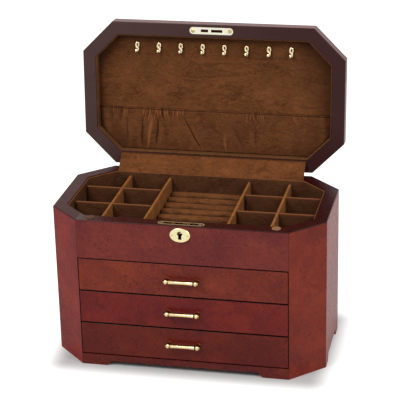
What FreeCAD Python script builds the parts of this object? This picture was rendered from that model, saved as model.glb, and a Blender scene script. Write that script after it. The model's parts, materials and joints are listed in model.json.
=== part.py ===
"""Eight-sided wooden jewellery chest with a hinged lid, a divided tray and three drawers.

Millimetres. X runs to the right, Y to the back and Z up. The chest is built round the middle
of its case with the lid shut, the lid is then swung open to where it rests, and last of all
everything moves along Y so that the origin is the middle of the whole footprint, on the floor.
"""

import FreeCAD, Part
import math
import os

Vector = FreeCAD.Vector

# Case
case_width = 400.0
case_depth = 221.5
case_height = 228.6
corner_cut = 47.0
wall = 19.0
edge_ease = 1.2
floor_thickness = 8.0
base_rail_height = 16.7
arch_height = 7.5
arch_slant = 6.0
front_foot = 38.0
side_foot = 20.0
side_arch_height = 11.0
side_arch_slant = 6.0
apron_height = 58.4

# Tray under the lid
deck_thickness = 6.0
lining_thickness = 2.0
tray_lining_drop = 1.3
divider_thickness = 4.6
divider_drop = 6.6
inner_divider_x = 61.0
side_bay_length = 56.0
front_cross_y = -25.0
back_cross_y = 37.5
roll_count = 8
roll_pad_drop = 24.6
roll_depth = 7.5
soft_gap = 0.3

# Drawers and what they run on
drawer_names = ["bottom_drawer", "middle_drawer", "top_drawer"]
drawer_gap = 1.6
drawer_end_gap = 0.8
drawer_front_thickness = 12.5
front_ease = 0.9
stop_width = 4.0
stop_gap = 0.3
guide_thickness = 9.0
drawer_side_gap = 0.6
drawer_side_thickness = 9.0
drawer_back_thickness = 8.0
drawer_side_height = 38.0
drawer_back_gap = 3.0
drawer_lift = 2.0
drawer_bottom_thickness = 3.0
drawer_bottom_lift = 4.0
drawer_groove = 3.0
drawer_lining_thickness = 1.6
runner_width = 5.0
runner_height = 8.0
runner_gap = 0.3
runner_lift = 20.0
drawer_travel = 150.0

# Bar pulls
pull_half_length = 21.6
pull_reach = 8.6
pull_lift = 1.0
pull_waist_radius = 2.7
pull_end_radius = 3.3
pull_ball_radius = 4.3
pull_waist_share = 0.5
pull_ball_steps = 4
pull_ball_turn = 37.0
pull_post_radius = 2.9
rosette_radius = 3.5
rosette_thickness = 1.2
pull_screw_radius = 1.5
pull_screw_depth = 5.0
screw_head_radius = 3.2
screw_head_thickness = 2.2
screw_fit = 0.05

# Lid
lid_gap = 1.2
lid_rail_height = 15.0
lid_panel_thickness = 11.0
lid_round = 6.5
lid_open_angle = 93.75
lid_lining_thickness = 2.0
lid_border_thickness = 2.5
lid_border_drop = 0.8
hook_count = 8
hook_pitch = 33.6
hook_from_front = 39.0
hook_width = 6.4
hook_length = 12.5
hook_plate = 1.3
hook_wire = 1.1
hook_curl = 2.9
hook_tip = 1.2
hook_stem = 4.0
hook_stud = 6.0
pocket_from_hinge_side = 24.5
pocket_height = 62.5
pocket_margin = 0.6
pocket_hem = 7.0
pocket_cloth = 1.0
pocket_folds = 9
pocket_fold_depth = 3.2
pocket_foot_depth = 1.0

# Hinges
knuckle_radius = 2.4
hinge_pin_radius = 1.2
hinge_fit = 0.05
hinge_play = 0.2
hinge_length = 50.0
hinge_x = 95.0
leaf_thickness = 1.0
leaf_width = 15.0
leaf_sink = 0.5
hinge_screw_radius = 1.1
hinge_screw_length = 8.0
hinge_screw_head = 2.2
hinge_screw_spacing = 17.0

# Cloth flap over the hinges
flap_end_gap = 1.6
flap_thickness = 1.0
flap_lip_radius = 1.7
flap_tail = 7.0

# Lock, its keeper and the keyhole plate
lock_x = -1.0
lock_plate_length = 67.0
lock_plate_width = 10.4
lock_plate_thickness = 1.6
lock_box_length = 54.0
lock_box_height = 32.0
lock_box_wall = 1.2
lock_play = 0.3
bolt_fit = 0.1
plate_screw_x = 28.0
plate_screw_radius = 1.4
plate_screw_length = 9.0
plate_screw_head = 3.2
keeper_slot_width = 4.2
keeper_slots = [(-15.8, 11.1), (-0.3, 17.1)]
bolt_rise = 6.0
bolt_margin = 0.8
bolt_height = 10.0
bolt_root = 2.0
bolt_mouth_depth = 8.0
keyhole_drop = 11.5
keyhole_radius = 3.8
keyhole_slot = 4.8
keyhole_length = 8.7
escutcheon_width = 29.6
escutcheon_height = 21.2
escutcheon_thickness = 1.6
escutcheon_border = 1.8
escutcheon_recess = 0.35
escutcheon_pin_x = 10.9
escutcheon_pin_radius = 1.1
escutcheon_pin_length = 5.0

# Cork dots that the lid comes down on
bumper_x = 134.0
bumper_radius = 6.5
bumper_thickness = 0.9
bumper_round = 0.4

# Places that follow from the sizes above
half_width = case_width / 2
half_depth = case_depth / 2
rim_z = case_height
lid_z = case_height + lid_gap
lid_lining_z = lid_z + lid_rail_height - lid_lining_thickness
apron_z = case_height - apron_height
deck_top = apron_z + deck_thickness
tray_floor_z = deck_top + lining_thickness
front_half = half_width - corner_cut
drawer_pitch = (apron_z - base_rail_height - drawer_gap) / len(drawer_names)
front_height = drawer_pitch - drawer_gap
hinge_y = half_depth + knuckle_radius + hinge_play
hinge_z = case_height + lid_gap / 2
lock_y = -half_depth + wall / 2
guide_x = front_half - stop_width
outer_divider_x = half_width - wall - lining_thickness - side_bay_length
drawer_face_back = -half_depth + drawer_front_thickness

parts = {}


def keep(name, *solids):
    """Store the solids of one named sub-part."""
    parts[name] = list(solids)


def octagon(inset):
    """Corners of the case outline drawn in by a distance, from the front left, anticlockwise."""
    x = half_width - inset
    y = half_depth - inset
    cut = corner_cut - inset * (2 - math.sqrt(2))
    return [
        Vector(-x + cut, -y, 0), Vector(x - cut, -y, 0),
        Vector(x, -y + cut, 0), Vector(x, y - cut, 0),
        Vector(x - cut, y, 0), Vector(-x + cut, y, 0),
        Vector(-x, y - cut, 0), Vector(-x, -y + cut, 0),
    ]


def prism(points, bottom, top):
    """Upright solid over a closed outline."""
    lifted = [Vector(p.x, p.y, bottom) for p in points]
    face = Part.Face(Part.makePolygon(lifted + lifted[:1]))
    return face.extrude(Vector(0, 0, top - bottom))


def block(x0, x1, y0, y1, z0, z1):
    """Box between two corners."""
    return Part.makeBox(x1 - x0, y1 - y0, z1 - z0, Vector(x0, y0, z0))


def rod(radius, start, end):
    """Round rod between two points."""
    along = end - start
    return Part.makeCylinder(radius, along.Length, start, along)


def side_profile(points, x0, x1):
    """Solid with an outline drawn in Y and Z, pulled along X."""
    flat = [Vector(x0, y, z) for y, z in points]
    return Part.Face(Part.makePolygon(flat + flat[:1])).extrude(Vector(x1 - x0, 0, 0))


def front_profile(points, y0, y1):
    """Solid with an outline drawn in X and Z, pulled along Y."""
    flat = [Vector(x, y0, z) for x, z in points]
    return Part.Face(Part.makePolygon(flat + flat[:1])).extrude(Vector(0, y1 - y0, 0))


def mirrored(solid):
    """The same solid on the other side of the middle."""
    return solid.mirror(Vector(0, 0, 0), Vector(1, 0, 0))


def ring_piece(side, outer, inner, bottom, top):
    """One mitred length of an eight-sided ring; side 0 is the front, then anticlockwise."""
    out = octagon(outer)
    ins = octagon(inner)
    after = (side + 1) % 8
    return prism([out[side], out[after], ins[after], ins[side]], bottom, top)


def level_edges(solid, height):
    """Edges that lie in one level plane."""
    found = []
    for edge in solid.Edges:
        box = edge.BoundBox
        if abs(box.ZMin - height) < 1e-6 and abs(box.ZMax - height) < 1e-6:
            found.append(edge)
    return found


def eased_case():
    """The whole case outline with its top edge rounded over, which shapes the top of each wall."""
    solid = prism(octagon(0), 0, case_height)
    return solid.makeFillet(edge_ease, level_edges(solid, case_height))


def inner_reach(x):
    """How far the space inside the walls reaches towards the front or back at one X."""
    corner = octagon(wall)[4]
    return corner.y - max(0.0, x - corner.x)


def arch(half_length, height, slant):
    """Cutter for the shallow arch between two feet, running right through along Y."""
    top = half_length - slant
    outline = [(-half_length, -1), (half_length, -1), (half_length, 0), (top, height)]
    outline += [(-top, height), (-half_length, 0)]
    return front_profile(outline, -half_width - 1, half_width + 1)


def countersunk_screw(x, y, top, head, radius, length, down=True):
    """Wood screw with its flat head level with a surface at height top."""
    way = -1 if down else 1
    axis = Vector(0, 0, way)
    cone = Part.makeCone(head, radius, head - radius, Vector(x, y, top), axis)
    shank = Part.makeCylinder(radius, length, Vector(x, y, top), axis)
    return cone.fuse(shank).removeSplitter()


def screw_hole(x, y, top, head, radius, length, down=True):
    """The hole that such a screw needs, a little larger all round."""
    way = -1 if down else 1
    axis = Vector(0, 0, way)
    wide = head + screw_fit
    narrow = radius + screw_fit
    cone = Part.makeCone(wide, narrow, wide - narrow, Vector(x, y, top), axis)
    return cone.fuse(Part.makeCylinder(narrow, length + screw_fit, Vector(x, y, top), axis))


def rounded_plate(x, y, length, width, bottom, top):
    """Flat bar with round ends, lying along X."""
    reach = (length - width) / 2
    plate = block(x - reach, x + reach, y - width / 2, y + width / 2, bottom, top)
    for side in (-1, 1):
        centre = Vector(x + side * reach, y, bottom)
        plate = plate.fuse(Part.makeCylinder(width / 2, top - bottom, centre))
    return plate.removeSplitter()


# Case walls
def case_walls():
    envelope = eased_case()
    out = octagon(0)
    ins = octagon(wall)
    front_arch = arch(front_half - front_foot, arch_height, arch_slant)
    side_arch = arch(half_depth - corner_cut - side_foot, side_arch_height, side_arch_slant)
    side_arch.rotate(Vector(0, 0, 0), Vector(0, 0, 1), 90)
    back_step = ins[1].y + (out[1].x - ins[1].x)

    right = ring_piece(2, 0, wall, 0, case_height).common(envelope).cut(side_arch)
    keep("right_side_panel", right)
    keep("left_side_panel", mirrored(right))
    keep("back_panel", ring_piece(4, 0, wall, 0, case_height).common(envelope).cut(front_arch))
    back_right = ring_piece(3, 0, wall, 0, case_height).common(envelope)
    keep("back_right_corner_panel", back_right)
    keep("back_left_corner_panel", mirrored(back_right))

    corner = prism([out[1], out[2], ins[2], Vector(out[1].x, back_step, 0)], 0, case_height)
    corner = corner.common(envelope)
    keep("front_right_corner_panel", corner)
    keep("front_left_corner_panel", mirrored(corner))

    outline = [out[0], out[1], Vector(out[1].x, back_step, 0), ins[1], ins[0]]
    outline.append(Vector(out[0].x, back_step, 0))
    keep("front_apron", prism(outline, apron_z, case_height).common(envelope))
    keep("front_base_rail", prism(outline, 0, base_rail_height).cut(front_arch))

    keep("case_floor", prism(ins, base_rail_height - floor_thickness, base_rail_height))
    keep("tray_deck", prism(ins, apron_z, deck_top))


# Tray
def tray():
    keep("tray_floor_lining", prism(octagon(wall), deck_top, tray_floor_z))
    top = case_height - tray_lining_drop
    inner = wall + lining_thickness
    boards = [ring_piece(i, wall, inner, tray_floor_z, top) for i in range(8)]
    keep("tray_wall_lining", *boards)

    divider_top = case_height - divider_drop
    half = divider_thickness / 2
    end_y = half_depth - inner
    end_x = half_width - inner
    halving = (tray_floor_z + divider_top) / 2

    def topped(board):
        """Round over the long top edges, as cloth pulled over a thin board does."""
        longest = sorted(level_edges(board, divider_top), key=lambda e: -e.Length)[:2]
        return board.makeFillet(half * 0.8, longest)

    def long_divider(x):
        board = topped(block(x - half, x + half, -end_y, end_y, tray_floor_z, divider_top))
        if abs(x) == outer_divider_x:
            for y in (front_cross_y, back_cross_y):
                board = board.cut(block(x - half, x + half, y - half, y + half,
                                        halving, divider_top))
        return board

    def cross_divider(y):
        x0 = inner_divider_x + half
        board = topped(block(x0, end_x, y - half, y + half, tray_floor_z, divider_top))
        notch = block(outer_divider_x - half, outer_divider_x + half, y - half, y + half,
                      tray_floor_z, halving)
        return board.cut(notch)

    for name, x in (("inner_divider", inner_divider_x), ("outer_divider", outer_divider_x)):
        keep("right_" + name, long_divider(x))
        keep("left_" + name, long_divider(-x))
    crosses = [cross_divider(front_cross_y), cross_divider(back_cross_y)]
    keep("right_cross_dividers", *crosses)
    keep("left_cross_dividers", *[mirrored(board) for board in crosses])

    keep("ring_roll_pad", ring_roll_pad(end_y - soft_gap, inner_divider_x - half - soft_gap))


def ring_roll_pad(end_y, end_x):
    """Row of soft rolls side by side; rings stand in the creases between them."""
    top = case_height - roll_pad_drop
    crease = top - roll_depth
    pitch = 2 * end_y / roll_count
    edges = [Part.makeLine(Vector(-end_x, end_y, crease), Vector(-end_x, end_y, tray_floor_z))]
    edges.append(Part.makeLine(Vector(-end_x, end_y, tray_floor_z),
                               Vector(-end_x, -end_y, tray_floor_z)))
    edges.append(Part.makeLine(Vector(-end_x, -end_y, tray_floor_z),
                               Vector(-end_x, -end_y, crease)))
    for i in range(roll_count):
        y = -end_y + i * pitch
        start = Vector(-end_x, y, crease)
        crown = Vector(-end_x, y + pitch / 2, top)
        end = Vector(-end_x, y + pitch, crease)
        edges.append(Part.Arc(start, crown, end).toShape())
    face = Part.Face(Part.Wire(Part.__sortEdges__(edges)))
    return face.extrude(Vector(2 * end_x, 0, 0))


# Drawer guides and runners
def drawer_guides():
    out = octagon(0)
    ins = octagon(wall)
    edge_x = out[1].x
    far_x = guide_x + guide_thickness
    front = drawer_face_back + stop_gap
    step = ins[1].y + (edge_x - ins[1].x)
    outline = [
        Vector(guide_x, front, 0), Vector(edge_x, front, 0), Vector(edge_x, step, 0),
        Vector(far_x, -inner_reach(far_x), 0), Vector(far_x, inner_reach(far_x), 0),
        Vector(guide_x, inner_reach(guide_x), 0),
    ]
    guide = prism(outline, base_rail_height, apron_z)
    keep("right_drawer_guide", guide)
    keep("left_drawer_guide", mirrored(guide))

    strips = []
    for i in range(len(drawer_names)):
        z = drawer_z(i) + runner_lift
        strip = block(guide_x - runner_width, guide_x, runner_front(), runner_back(),
                      z, z + runner_height)
        strips += [strip, mirrored(strip)]
    keep("drawer_runners", *strips)


def drawer_z(i):
    """Height of the lower edge of a drawer front."""
    return base_rail_height + drawer_gap + i * drawer_pitch


def runner_front():
    return drawer_face_back + 4 * stop_gap


def runner_back():
    return inner_reach(guide_x) - drawer_side_gap


# Drawers
def drawer_back():
    """Back of the drawer boxes, a little in front of the back wall's corner."""
    return inner_reach(guide_x) - drawer_back_gap


def drawer(i, name):
    z = drawer_z(i)
    half = front_half - drawer_end_gap
    outer = guide_x - drawer_side_gap
    inner = outer - drawer_side_thickness
    back = drawer_back()
    low = z + drawer_lift
    high = low + drawer_side_height
    bottom_z = low + drawer_bottom_lift
    bottom_top = bottom_z + drawer_bottom_thickness
    groove_x = inner + drawer_groove
    panel_front = drawer_face_back - drawer_groove
    bottom = block(-groove_x, groove_x, panel_front, back, bottom_z, bottom_top)

    front = block(-half, half, -half_depth, drawer_face_back, z, z + front_height)
    face_edges = [e for e in front.Edges if abs(e.BoundBox.YMax + half_depth) < 1e-6]
    front = front.makeFillet(front_ease, face_edges).cut(bottom)

    side = block(inner, outer, drawer_face_back, back, low, high).cut(bottom)
    groove_z = z + runner_lift - runner_gap
    groove = block(guide_x - runner_width - drawer_side_gap, outer, drawer_face_back + stop_gap,
                   back, groove_z, groove_z + runner_height + 2 * runner_gap)
    side = side.cut(groove)
    rear = block(-inner, inner, back - drawer_back_thickness, back, bottom_top, high)
    keep(name + "_box", side, mirrored(side), rear, bottom)

    lining = block(-inner + soft_gap, inner - soft_gap, drawer_face_back + soft_gap,
                   back - drawer_back_thickness - soft_gap,
                   bottom_top, bottom_top + drawer_lining_thickness)
    keep(name + "_lining", lining)

    pull_z = z + front_height / 2 + pull_lift
    pull, screws = bar_pull(pull_z)
    for side_x in (-1, 1):
        start = Vector(side_x * pull_half_length, drawer_face_back, pull_z)
        end = Vector(side_x * pull_half_length, -half_depth, pull_z)
        front = front.cut(rod(pull_screw_radius + screw_fit, start, end))
    keep(name + "_front", front)
    keep(name + "_pull", pull, *screws)


def bar_pull(z):
    """Brass bar with a slim waist and a ball at each end, on two posts, with its two screws."""
    face = -half_depth
    centre_y = face - pull_reach

    def at(x, radius):
        return Vector(x, centre_y, z + radius)

    neck = pull_half_length - pull_ball_radius
    right = [at(neck * pull_waist_share, pull_waist_radius), at(neck, pull_end_radius)]
    for k in range(pull_ball_steps):
        turn = math.radians(90 + pull_ball_turn * ((pull_ball_steps - 1) / 2 - k))
        right.append(at(pull_half_length + pull_ball_radius * math.cos(turn),
                        pull_ball_radius * math.sin(turn)))
    right.append(at(pull_half_length + pull_ball_radius, 0))
    left = [Vector(-p.x, p.y, p.z) for p in right]
    outline = left[::-1] + right
    section = Part.Face(Part.makePolygon(outline + outline[:1]))
    pull = section.revolve(at(0, 0), Vector(1, 0, 0), 360)
    screws = []
    for side in (-1, 1):
        x = side * pull_half_length
        post = rod(pull_post_radius, Vector(x, face, z), Vector(x, centre_y, z))
        rosette = Part.makeCone(rosette_radius, pull_post_radius, rosette_thickness,
                                Vector(x, face, z), Vector(0, -1, 0))
        pull = pull.fuse([post, rosette])
        end = Vector(x, face - pull_screw_depth, z)
        back_face = Vector(x, drawer_face_back, z)
        head = rod(screw_head_radius, back_face, back_face + Vector(0, screw_head_thickness, 0))
        screws.append(head.fuse(rod(pull_screw_radius, back_face, end)).removeSplitter())
        hole = rod(pull_screw_radius + screw_fit, Vector(x, face + 1, z),
                   Vector(x, face - pull_screw_depth - screw_fit, z))
        pull = pull.cut(hole)
    return pull.removeSplitter(), screws


# Lid, drawn shut
def lid():
    panel_z = lid_z + lid_rail_height
    envelope = prism(octagon(0), lid_z, panel_z)
    envelope = envelope.makeFillet(edge_ease, level_edges(envelope, lid_z))
    names = {0: "lid_front_rail", 2: "lid_right_rail", 4: "lid_back_rail", 6: "lid_left_rail"}
    corners = []
    for i in range(8):
        rail = ring_piece(i, 0, wall, lid_z, panel_z).common(envelope)
        if i in names:
            keep(names[i], rail)
        else:
            corners.append(rail)
    keep("lid_corner_rails", *corners)

    top = prism(octagon(0), panel_z, panel_z + lid_panel_thickness)
    top = top.makeFillet(lid_round, level_edges(top, panel_z + lid_panel_thickness))
    keep("lid_top_panel", top)

    keep("lid_lining_panel", prism(octagon(wall), lid_lining_z, panel_z))
    inner = wall + lid_border_thickness
    boards = [ring_piece(i, wall, inner, lid_z + lid_border_drop, lid_lining_z)
              for i in range(8)]
    keep("lid_lining_border", *boards)
    keep("lid_pocket", lid_pocket())


def lid_pocket():
    """Gathered cloth pocket on the lining: many folds at its elastic top, few at its foot."""
    border = octagon(wall + lid_border_thickness)
    edge_x = border[3].x - pocket_margin
    shoulder = half_depth - border[3].y
    foot_x = border[4].x + pocket_from_hinge_side - (half_depth - border[4].y)
    top = pocket_from_hinge_side + pocket_height
    levels = [
        (pocket_from_hinge_side, foot_x - 1.5 * pocket_margin, pocket_foot_depth),
        (shoulder, edge_x - 0.5 * pocket_margin, pocket_fold_depth * 0.8),
        (top - pocket_hem, edge_x, pocket_fold_depth),
        (top, edge_x, pocket_fold_depth * 0.6),
    ]
    wires = [pocket_section(half_depth - s, reach, depth) for s, reach, depth in levels]
    return Part.makeLoft(wires, True, True)


def pocket_section(y, reach, depth):
    """Closed outline across the pocket: a flat back on the lining and a row of soft folds."""
    back = lid_lining_z
    valley = back - pocket_cloth
    width = 2 * reach / pocket_folds
    edges = [Part.makeLine(Vector(reach, y, valley), Vector(reach, y, back))]
    edges.append(Part.makeLine(Vector(reach, y, back), Vector(-reach, y, back)))
    edges.append(Part.makeLine(Vector(-reach, y, back), Vector(-reach, y, valley)))
    for i in range(pocket_folds):
        x = -reach + i * width
        share = 0.55 + 0.45 * math.cos(2.3 * i) ** 2
        crown = Vector(x + width / 2, y, valley - depth * share)
        edges.append(Part.Arc(Vector(x, y, valley), crown, Vector(x + width, y, valley)).toShape())
    return Part.Wire(edges)


def necklace_hooks():
    """Small brass hooks in a row: an oval eye on the lining and a curl that opens upwards."""
    y = hook_from_front - half_depth
    hooks = []
    for i in range(hook_count):
        x = (i - (hook_count - 1) / 2) * hook_pitch
        hooks.append(necklace_hook(x, y))
        stud_hole = rod(hook_wire + screw_fit, Vector(x, y, lid_lining_z),
                        Vector(x, y, lid_lining_z + hook_stud + screw_fit))
        for name in ("lid_lining_panel", "lid_top_panel"):
            parts[name] = [parts[name][0].cut(stud_hole)]
    keep("necklace_hooks", *hooks)


def necklace_hook(x, y):
    """Eye plate with round ends, a strip that curls forward, and a stud behind."""
    face = lid_lining_z
    front = face - hook_plate
    reach = (hook_length - hook_width) / 2
    x0 = x - hook_wire
    x1 = x + hook_wire
    eye = block(x - hook_width / 2, x + hook_width / 2, y - reach, y + reach, front, face)
    hole_radius = hook_width / 2 - hook_wire * 1.4
    for side in (-1, 1):
        end = Vector(x, y + side * reach, front)
        eye = eye.fuse(Part.makeCylinder(hook_width / 2, hook_plate, end))
    eye = eye.removeSplitter()
    top = Vector(x, y - reach, front)
    eye = eye.cut(Part.makeCylinder(hole_radius, hook_plate, top))

    start_y = y + reach
    bend_y = start_y + hook_stem
    stem = block(x0, x1, start_y, bend_y, front - hook_wire, front + hook_wire)
    centre_z = front - hook_curl
    outer = hook_curl + hook_wire
    curl = rod(outer, Vector(x0, bend_y, centre_z), Vector(x1, bend_y, centre_z))
    curl = curl.cut(rod(hook_curl - hook_wire, Vector(x0, bend_y, centre_z),
                        Vector(x1, bend_y, centre_z)))
    curl = curl.common(block(x0, x1, bend_y, bend_y + outer, centre_z - outer, centre_z + outer))
    tip_z = centre_z - hook_curl
    tip = block(x0, x1, bend_y - hook_tip, bend_y, tip_z - hook_wire, tip_z + hook_wire)
    stud = rod(hook_wire, Vector(x, y, face), Vector(x, y, face + hook_stud))
    return eye.fuse([stem, curl, tip, stud]).removeSplitter()


# Hinges
def hinges():
    third = hinge_length / 3
    case_leaves = []
    lid_leaves = []
    pins = []
    case_screws = []
    lid_screws = []
    inner_y = half_depth - leaf_width
    near_y = hinge_y - knuckle_radius - 2 * hinge_play
    low = case_height - leaf_sink
    lid_low = lid_z + leaf_sink - leaf_thickness
    for x in (-hinge_x, hinge_x):
        x0 = x - hinge_length / 2
        x1 = x + hinge_length / 2
        bore = rod(hinge_pin_radius + hinge_fit, Vector(x0 - 1, hinge_y, hinge_z),
                   Vector(x1 + 1, hinge_y, hinge_z))
        leaf = block(x0, x1, inner_y, near_y, low, low + leaf_thickness)
        other = block(x0, x1, inner_y, near_y, lid_low, lid_low + leaf_thickness)
        for k in range(3):
            a = x0 + k * third + (hinge_play / 2 if k else 0)
            b = x0 + (k + 1) * third - (hinge_play / 2 if k < 2 else 0)
            knuckle = rod(knuckle_radius, Vector(a, hinge_y, hinge_z), Vector(b, hinge_y, hinge_z))
            if k == 1:
                tongue = block(a, b, near_y, hinge_y, lid_low, lid_low + leaf_thickness)
                other = other.fuse([tongue, knuckle])
            else:
                tongue = block(a, b, near_y, hinge_y, low, low + leaf_thickness)
                leaf = leaf.fuse([tongue, knuckle])
        leaf = leaf.cut(bore)
        other = other.cut(bore)
        for k in (-1, 0, 1):
            sx = x + k * hinge_screw_spacing
            sy = inner_y + leaf_width * 0.45
            down = (sx, sy, low + leaf_thickness, hinge_screw_head, hinge_screw_radius,
                    hinge_screw_length)
            up = (sx, sy, lid_low, hinge_screw_head, hinge_screw_radius, hinge_screw_length)
            leaf = leaf.cut(screw_hole(*down))
            other = other.cut(screw_hole(*up, down=False))
            case_screws.append(countersunk_screw(*down))
            lid_screws.append(countersunk_screw(*up, down=False))
            drill("back_panel", screw_hole(*down))
            drill("lid_back_rail", screw_hole(*up, down=False))
        case_leaves.append(leaf.removeSplitter())
        lid_leaves.append(other.removeSplitter())
        pins.append(rod(hinge_pin_radius, Vector(x0, hinge_y, hinge_z), Vector(x1, hinge_y, hinge_z)))
        drill("back_panel", block(x0, x1, inner_y, half_depth + 1, low, case_height + 1))
        drill("lid_back_rail", block(x0, x1, inner_y, half_depth + 1, lid_z - 1,
                                     lid_z + leaf_sink))
    keep("hinge_case_leaves", *case_leaves)
    keep("hinge_lid_leaves", *lid_leaves)
    keep("hinge_pins", *pins)
    keep("hinge_case_screws", *case_screws)
    keep("hinge_lid_screws", *lid_screws)


def drill(name, cutter):
    """Cut one sub-part that is already made."""
    parts[name] = [solid.cut(cutter) for solid in parts[name]]


# Lock
def lock():
    top = case_height
    plate_low = top - lock_plate_thickness
    box_low = plate_low - lock_box_height
    half_box = lock_box_length / 2
    half_thick = keeper_slot_width / 2 + lock_box_wall
    plate = rounded_plate(lock_x, lock_y, lock_plate_length, lock_plate_width, plate_low, top)
    box = block(lock_x - half_box, lock_x + half_box, lock_y - half_thick, lock_y + half_thick,
                box_low, plate_low)
    hollow = block(lock_x - half_box + lock_box_wall, lock_x + half_box - lock_box_wall,
                   lock_y - half_thick + lock_box_wall, lock_y + half_thick - lock_box_wall,
                   box_low + lock_box_wall, plate_low)
    case = plate.fuse(box).removeSplitter().cut(hollow)
    for start, width in keeper_slots:
        x0 = lock_x + start
        case = case.cut(block(x0, x0 + width, lock_y - keeper_slot_width / 2,
                              lock_y + keeper_slot_width / 2, plate_low - 0.5, top))
    keyhole = keyhole_cutter(lock_y - half_thick - 1, lock_y - half_thick + lock_box_wall + 0.5)
    case = case.cut(keyhole)

    recess = rounded_plate(lock_x, lock_y, lock_plate_length + 2 * screw_fit,
                           lock_plate_width + 2 * screw_fit, plate_low, top + 1)
    mortise = block(lock_x - half_box - lock_play, lock_x + half_box + lock_play,
                    lock_y - half_thick - lock_play, lock_y + half_thick + lock_play,
                    box_low - lock_play, top + 1)
    drill("front_apron", recess)
    drill("front_apron", mortise)
    drill("front_apron", keyhole_cutter(-half_depth - 1, lock_y))

    screws = []
    for side in (-1, 1):
        spot = (lock_x + side * plate_screw_x, lock_y, top, plate_screw_head,
                plate_screw_radius, plate_screw_length)
        case = case.cut(screw_hole(*spot))
        drill("front_apron", screw_hole(*spot))
        screws.append(countersunk_screw(*spot))
    keep("lock_case", case)
    keep("lock_plate_screws", *screws)
    keep("lock_bolt", lock_bolt(plate_low))
    keeper()
    escutcheon()


def lock_bolt(plate_low):
    """Flat bolt with two fingers that lean at 45 degrees and climb along their own slope."""
    body_top = plate_low - bolt_rise - lock_play
    body_low = body_top - bolt_height
    tip = case_height - lock_play
    y0 = lock_y - keeper_slot_width / 2 + bolt_fit
    y1 = lock_y + keeper_slot_width / 2 - bolt_fit
    first = keeper_slots[0][0]
    last = keeper_slots[-1][0] + keeper_slots[-1][1]
    x0 = lock_x + first - (case_height - body_top)
    x1 = lock_x + last - (case_height - body_top) + bolt_margin
    bolt = block(x0, x1, y0, y1, body_low, body_top)
    for start, width in keeper_slots:
        left = lock_x + start + bolt_margin
        thick = width - 2 * bolt_margin - lid_gap - 2 * lock_plate_thickness
        foot = body_top - bolt_root
        run = tip - foot
        shift = tip - plate_low
        finger = [
            (left + shift - run, foot), (left + shift - run + thick, foot),
            (left + shift + thick, tip), (left + shift, tip),
        ]
        bolt = bolt.fuse(front_profile(finger, y0, y1))
    notch_x = lock_x - keyhole_slot / 2
    notch = block(notch_x, notch_x + keyhole_slot, y0, y1, body_low, body_low + bolt_height / 3)
    return bolt.removeSplitter().cut(notch)


def keeper():
    """Plate in the lid that the lock's fingers reach through."""
    plate = rounded_plate(lock_x, lock_y, lock_plate_length - 1, lock_plate_width,
                          lid_z, lid_z + lock_plate_thickness)
    recess = rounded_plate(lock_x, lock_y, lock_plate_length - 1 + 2 * screw_fit,
                           lock_plate_width + 2 * screw_fit, lid_z - 1,
                           lid_z + lock_plate_thickness)
    first = lock_x + keeper_slots[0][0]
    last = lock_x + keeper_slots[-1][0] + keeper_slots[-1][1] + bolt_rise
    mouth = block(first, last, lock_y - keeper_slot_width / 2, lock_y + keeper_slot_width / 2,
                  lid_z, lid_z + bolt_mouth_depth)
    drill("lid_front_rail", recess)
    drill("lid_front_rail", mouth)
    for start, width in keeper_slots:
        x0 = lock_x + start
        plate = plate.cut(block(x0, x0 + width, lock_y - keeper_slot_width / 2,
                                lock_y + keeper_slot_width / 2, lid_z, lid_z + 2))
    right = (lock_x + plate_screw_x, lock_y, lid_z, plate_screw_head, plate_screw_radius,
             plate_screw_length)
    left_x = lock_x - plate_screw_x
    hole = rod(plate_screw_radius + screw_fit, Vector(left_x, lock_y, lid_z - 1),
               Vector(left_x, lock_y, lid_z + plate_screw_length + screw_fit))
    plate = plate.cut(screw_hole(*right, down=False)).cut(hole)
    drill("lid_front_rail", screw_hole(*right, down=False))
    drill("lid_front_rail", hole)
    keep("keeper_plate", plate)

    flat = countersunk_screw(*right, down=False)
    shank = rod(plate_screw_radius, Vector(left_x, lock_y, lid_z),
                Vector(left_x, lock_y, lid_z + plate_screw_length))
    keep("keeper_screws", flat, shank.fuse(low_dome(left_x, lock_y, lid_z)).removeSplitter())


def low_dome(x, y, z):
    """Shallow round screw head that stands down from a plate, within the gap under the lid."""
    height = lid_gap - lock_play
    return Part.makeCone(plate_screw_head, plate_screw_head * 0.6, height, Vector(x, y, z),
                         Vector(0, 0, -1))


def keyhole_cutter(y0, y1):
    """Keyhole outline pulled along Y: a round head over a straight slot."""
    z = case_height - keyhole_drop
    head = rod(keyhole_radius, Vector(lock_x, y0, z), Vector(lock_x, y1, z))
    slot = block(lock_x - keyhole_slot / 2, lock_x + keyhole_slot / 2, y0, y1,
                 z - keyhole_length, z)
    return head.fuse(slot)


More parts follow.
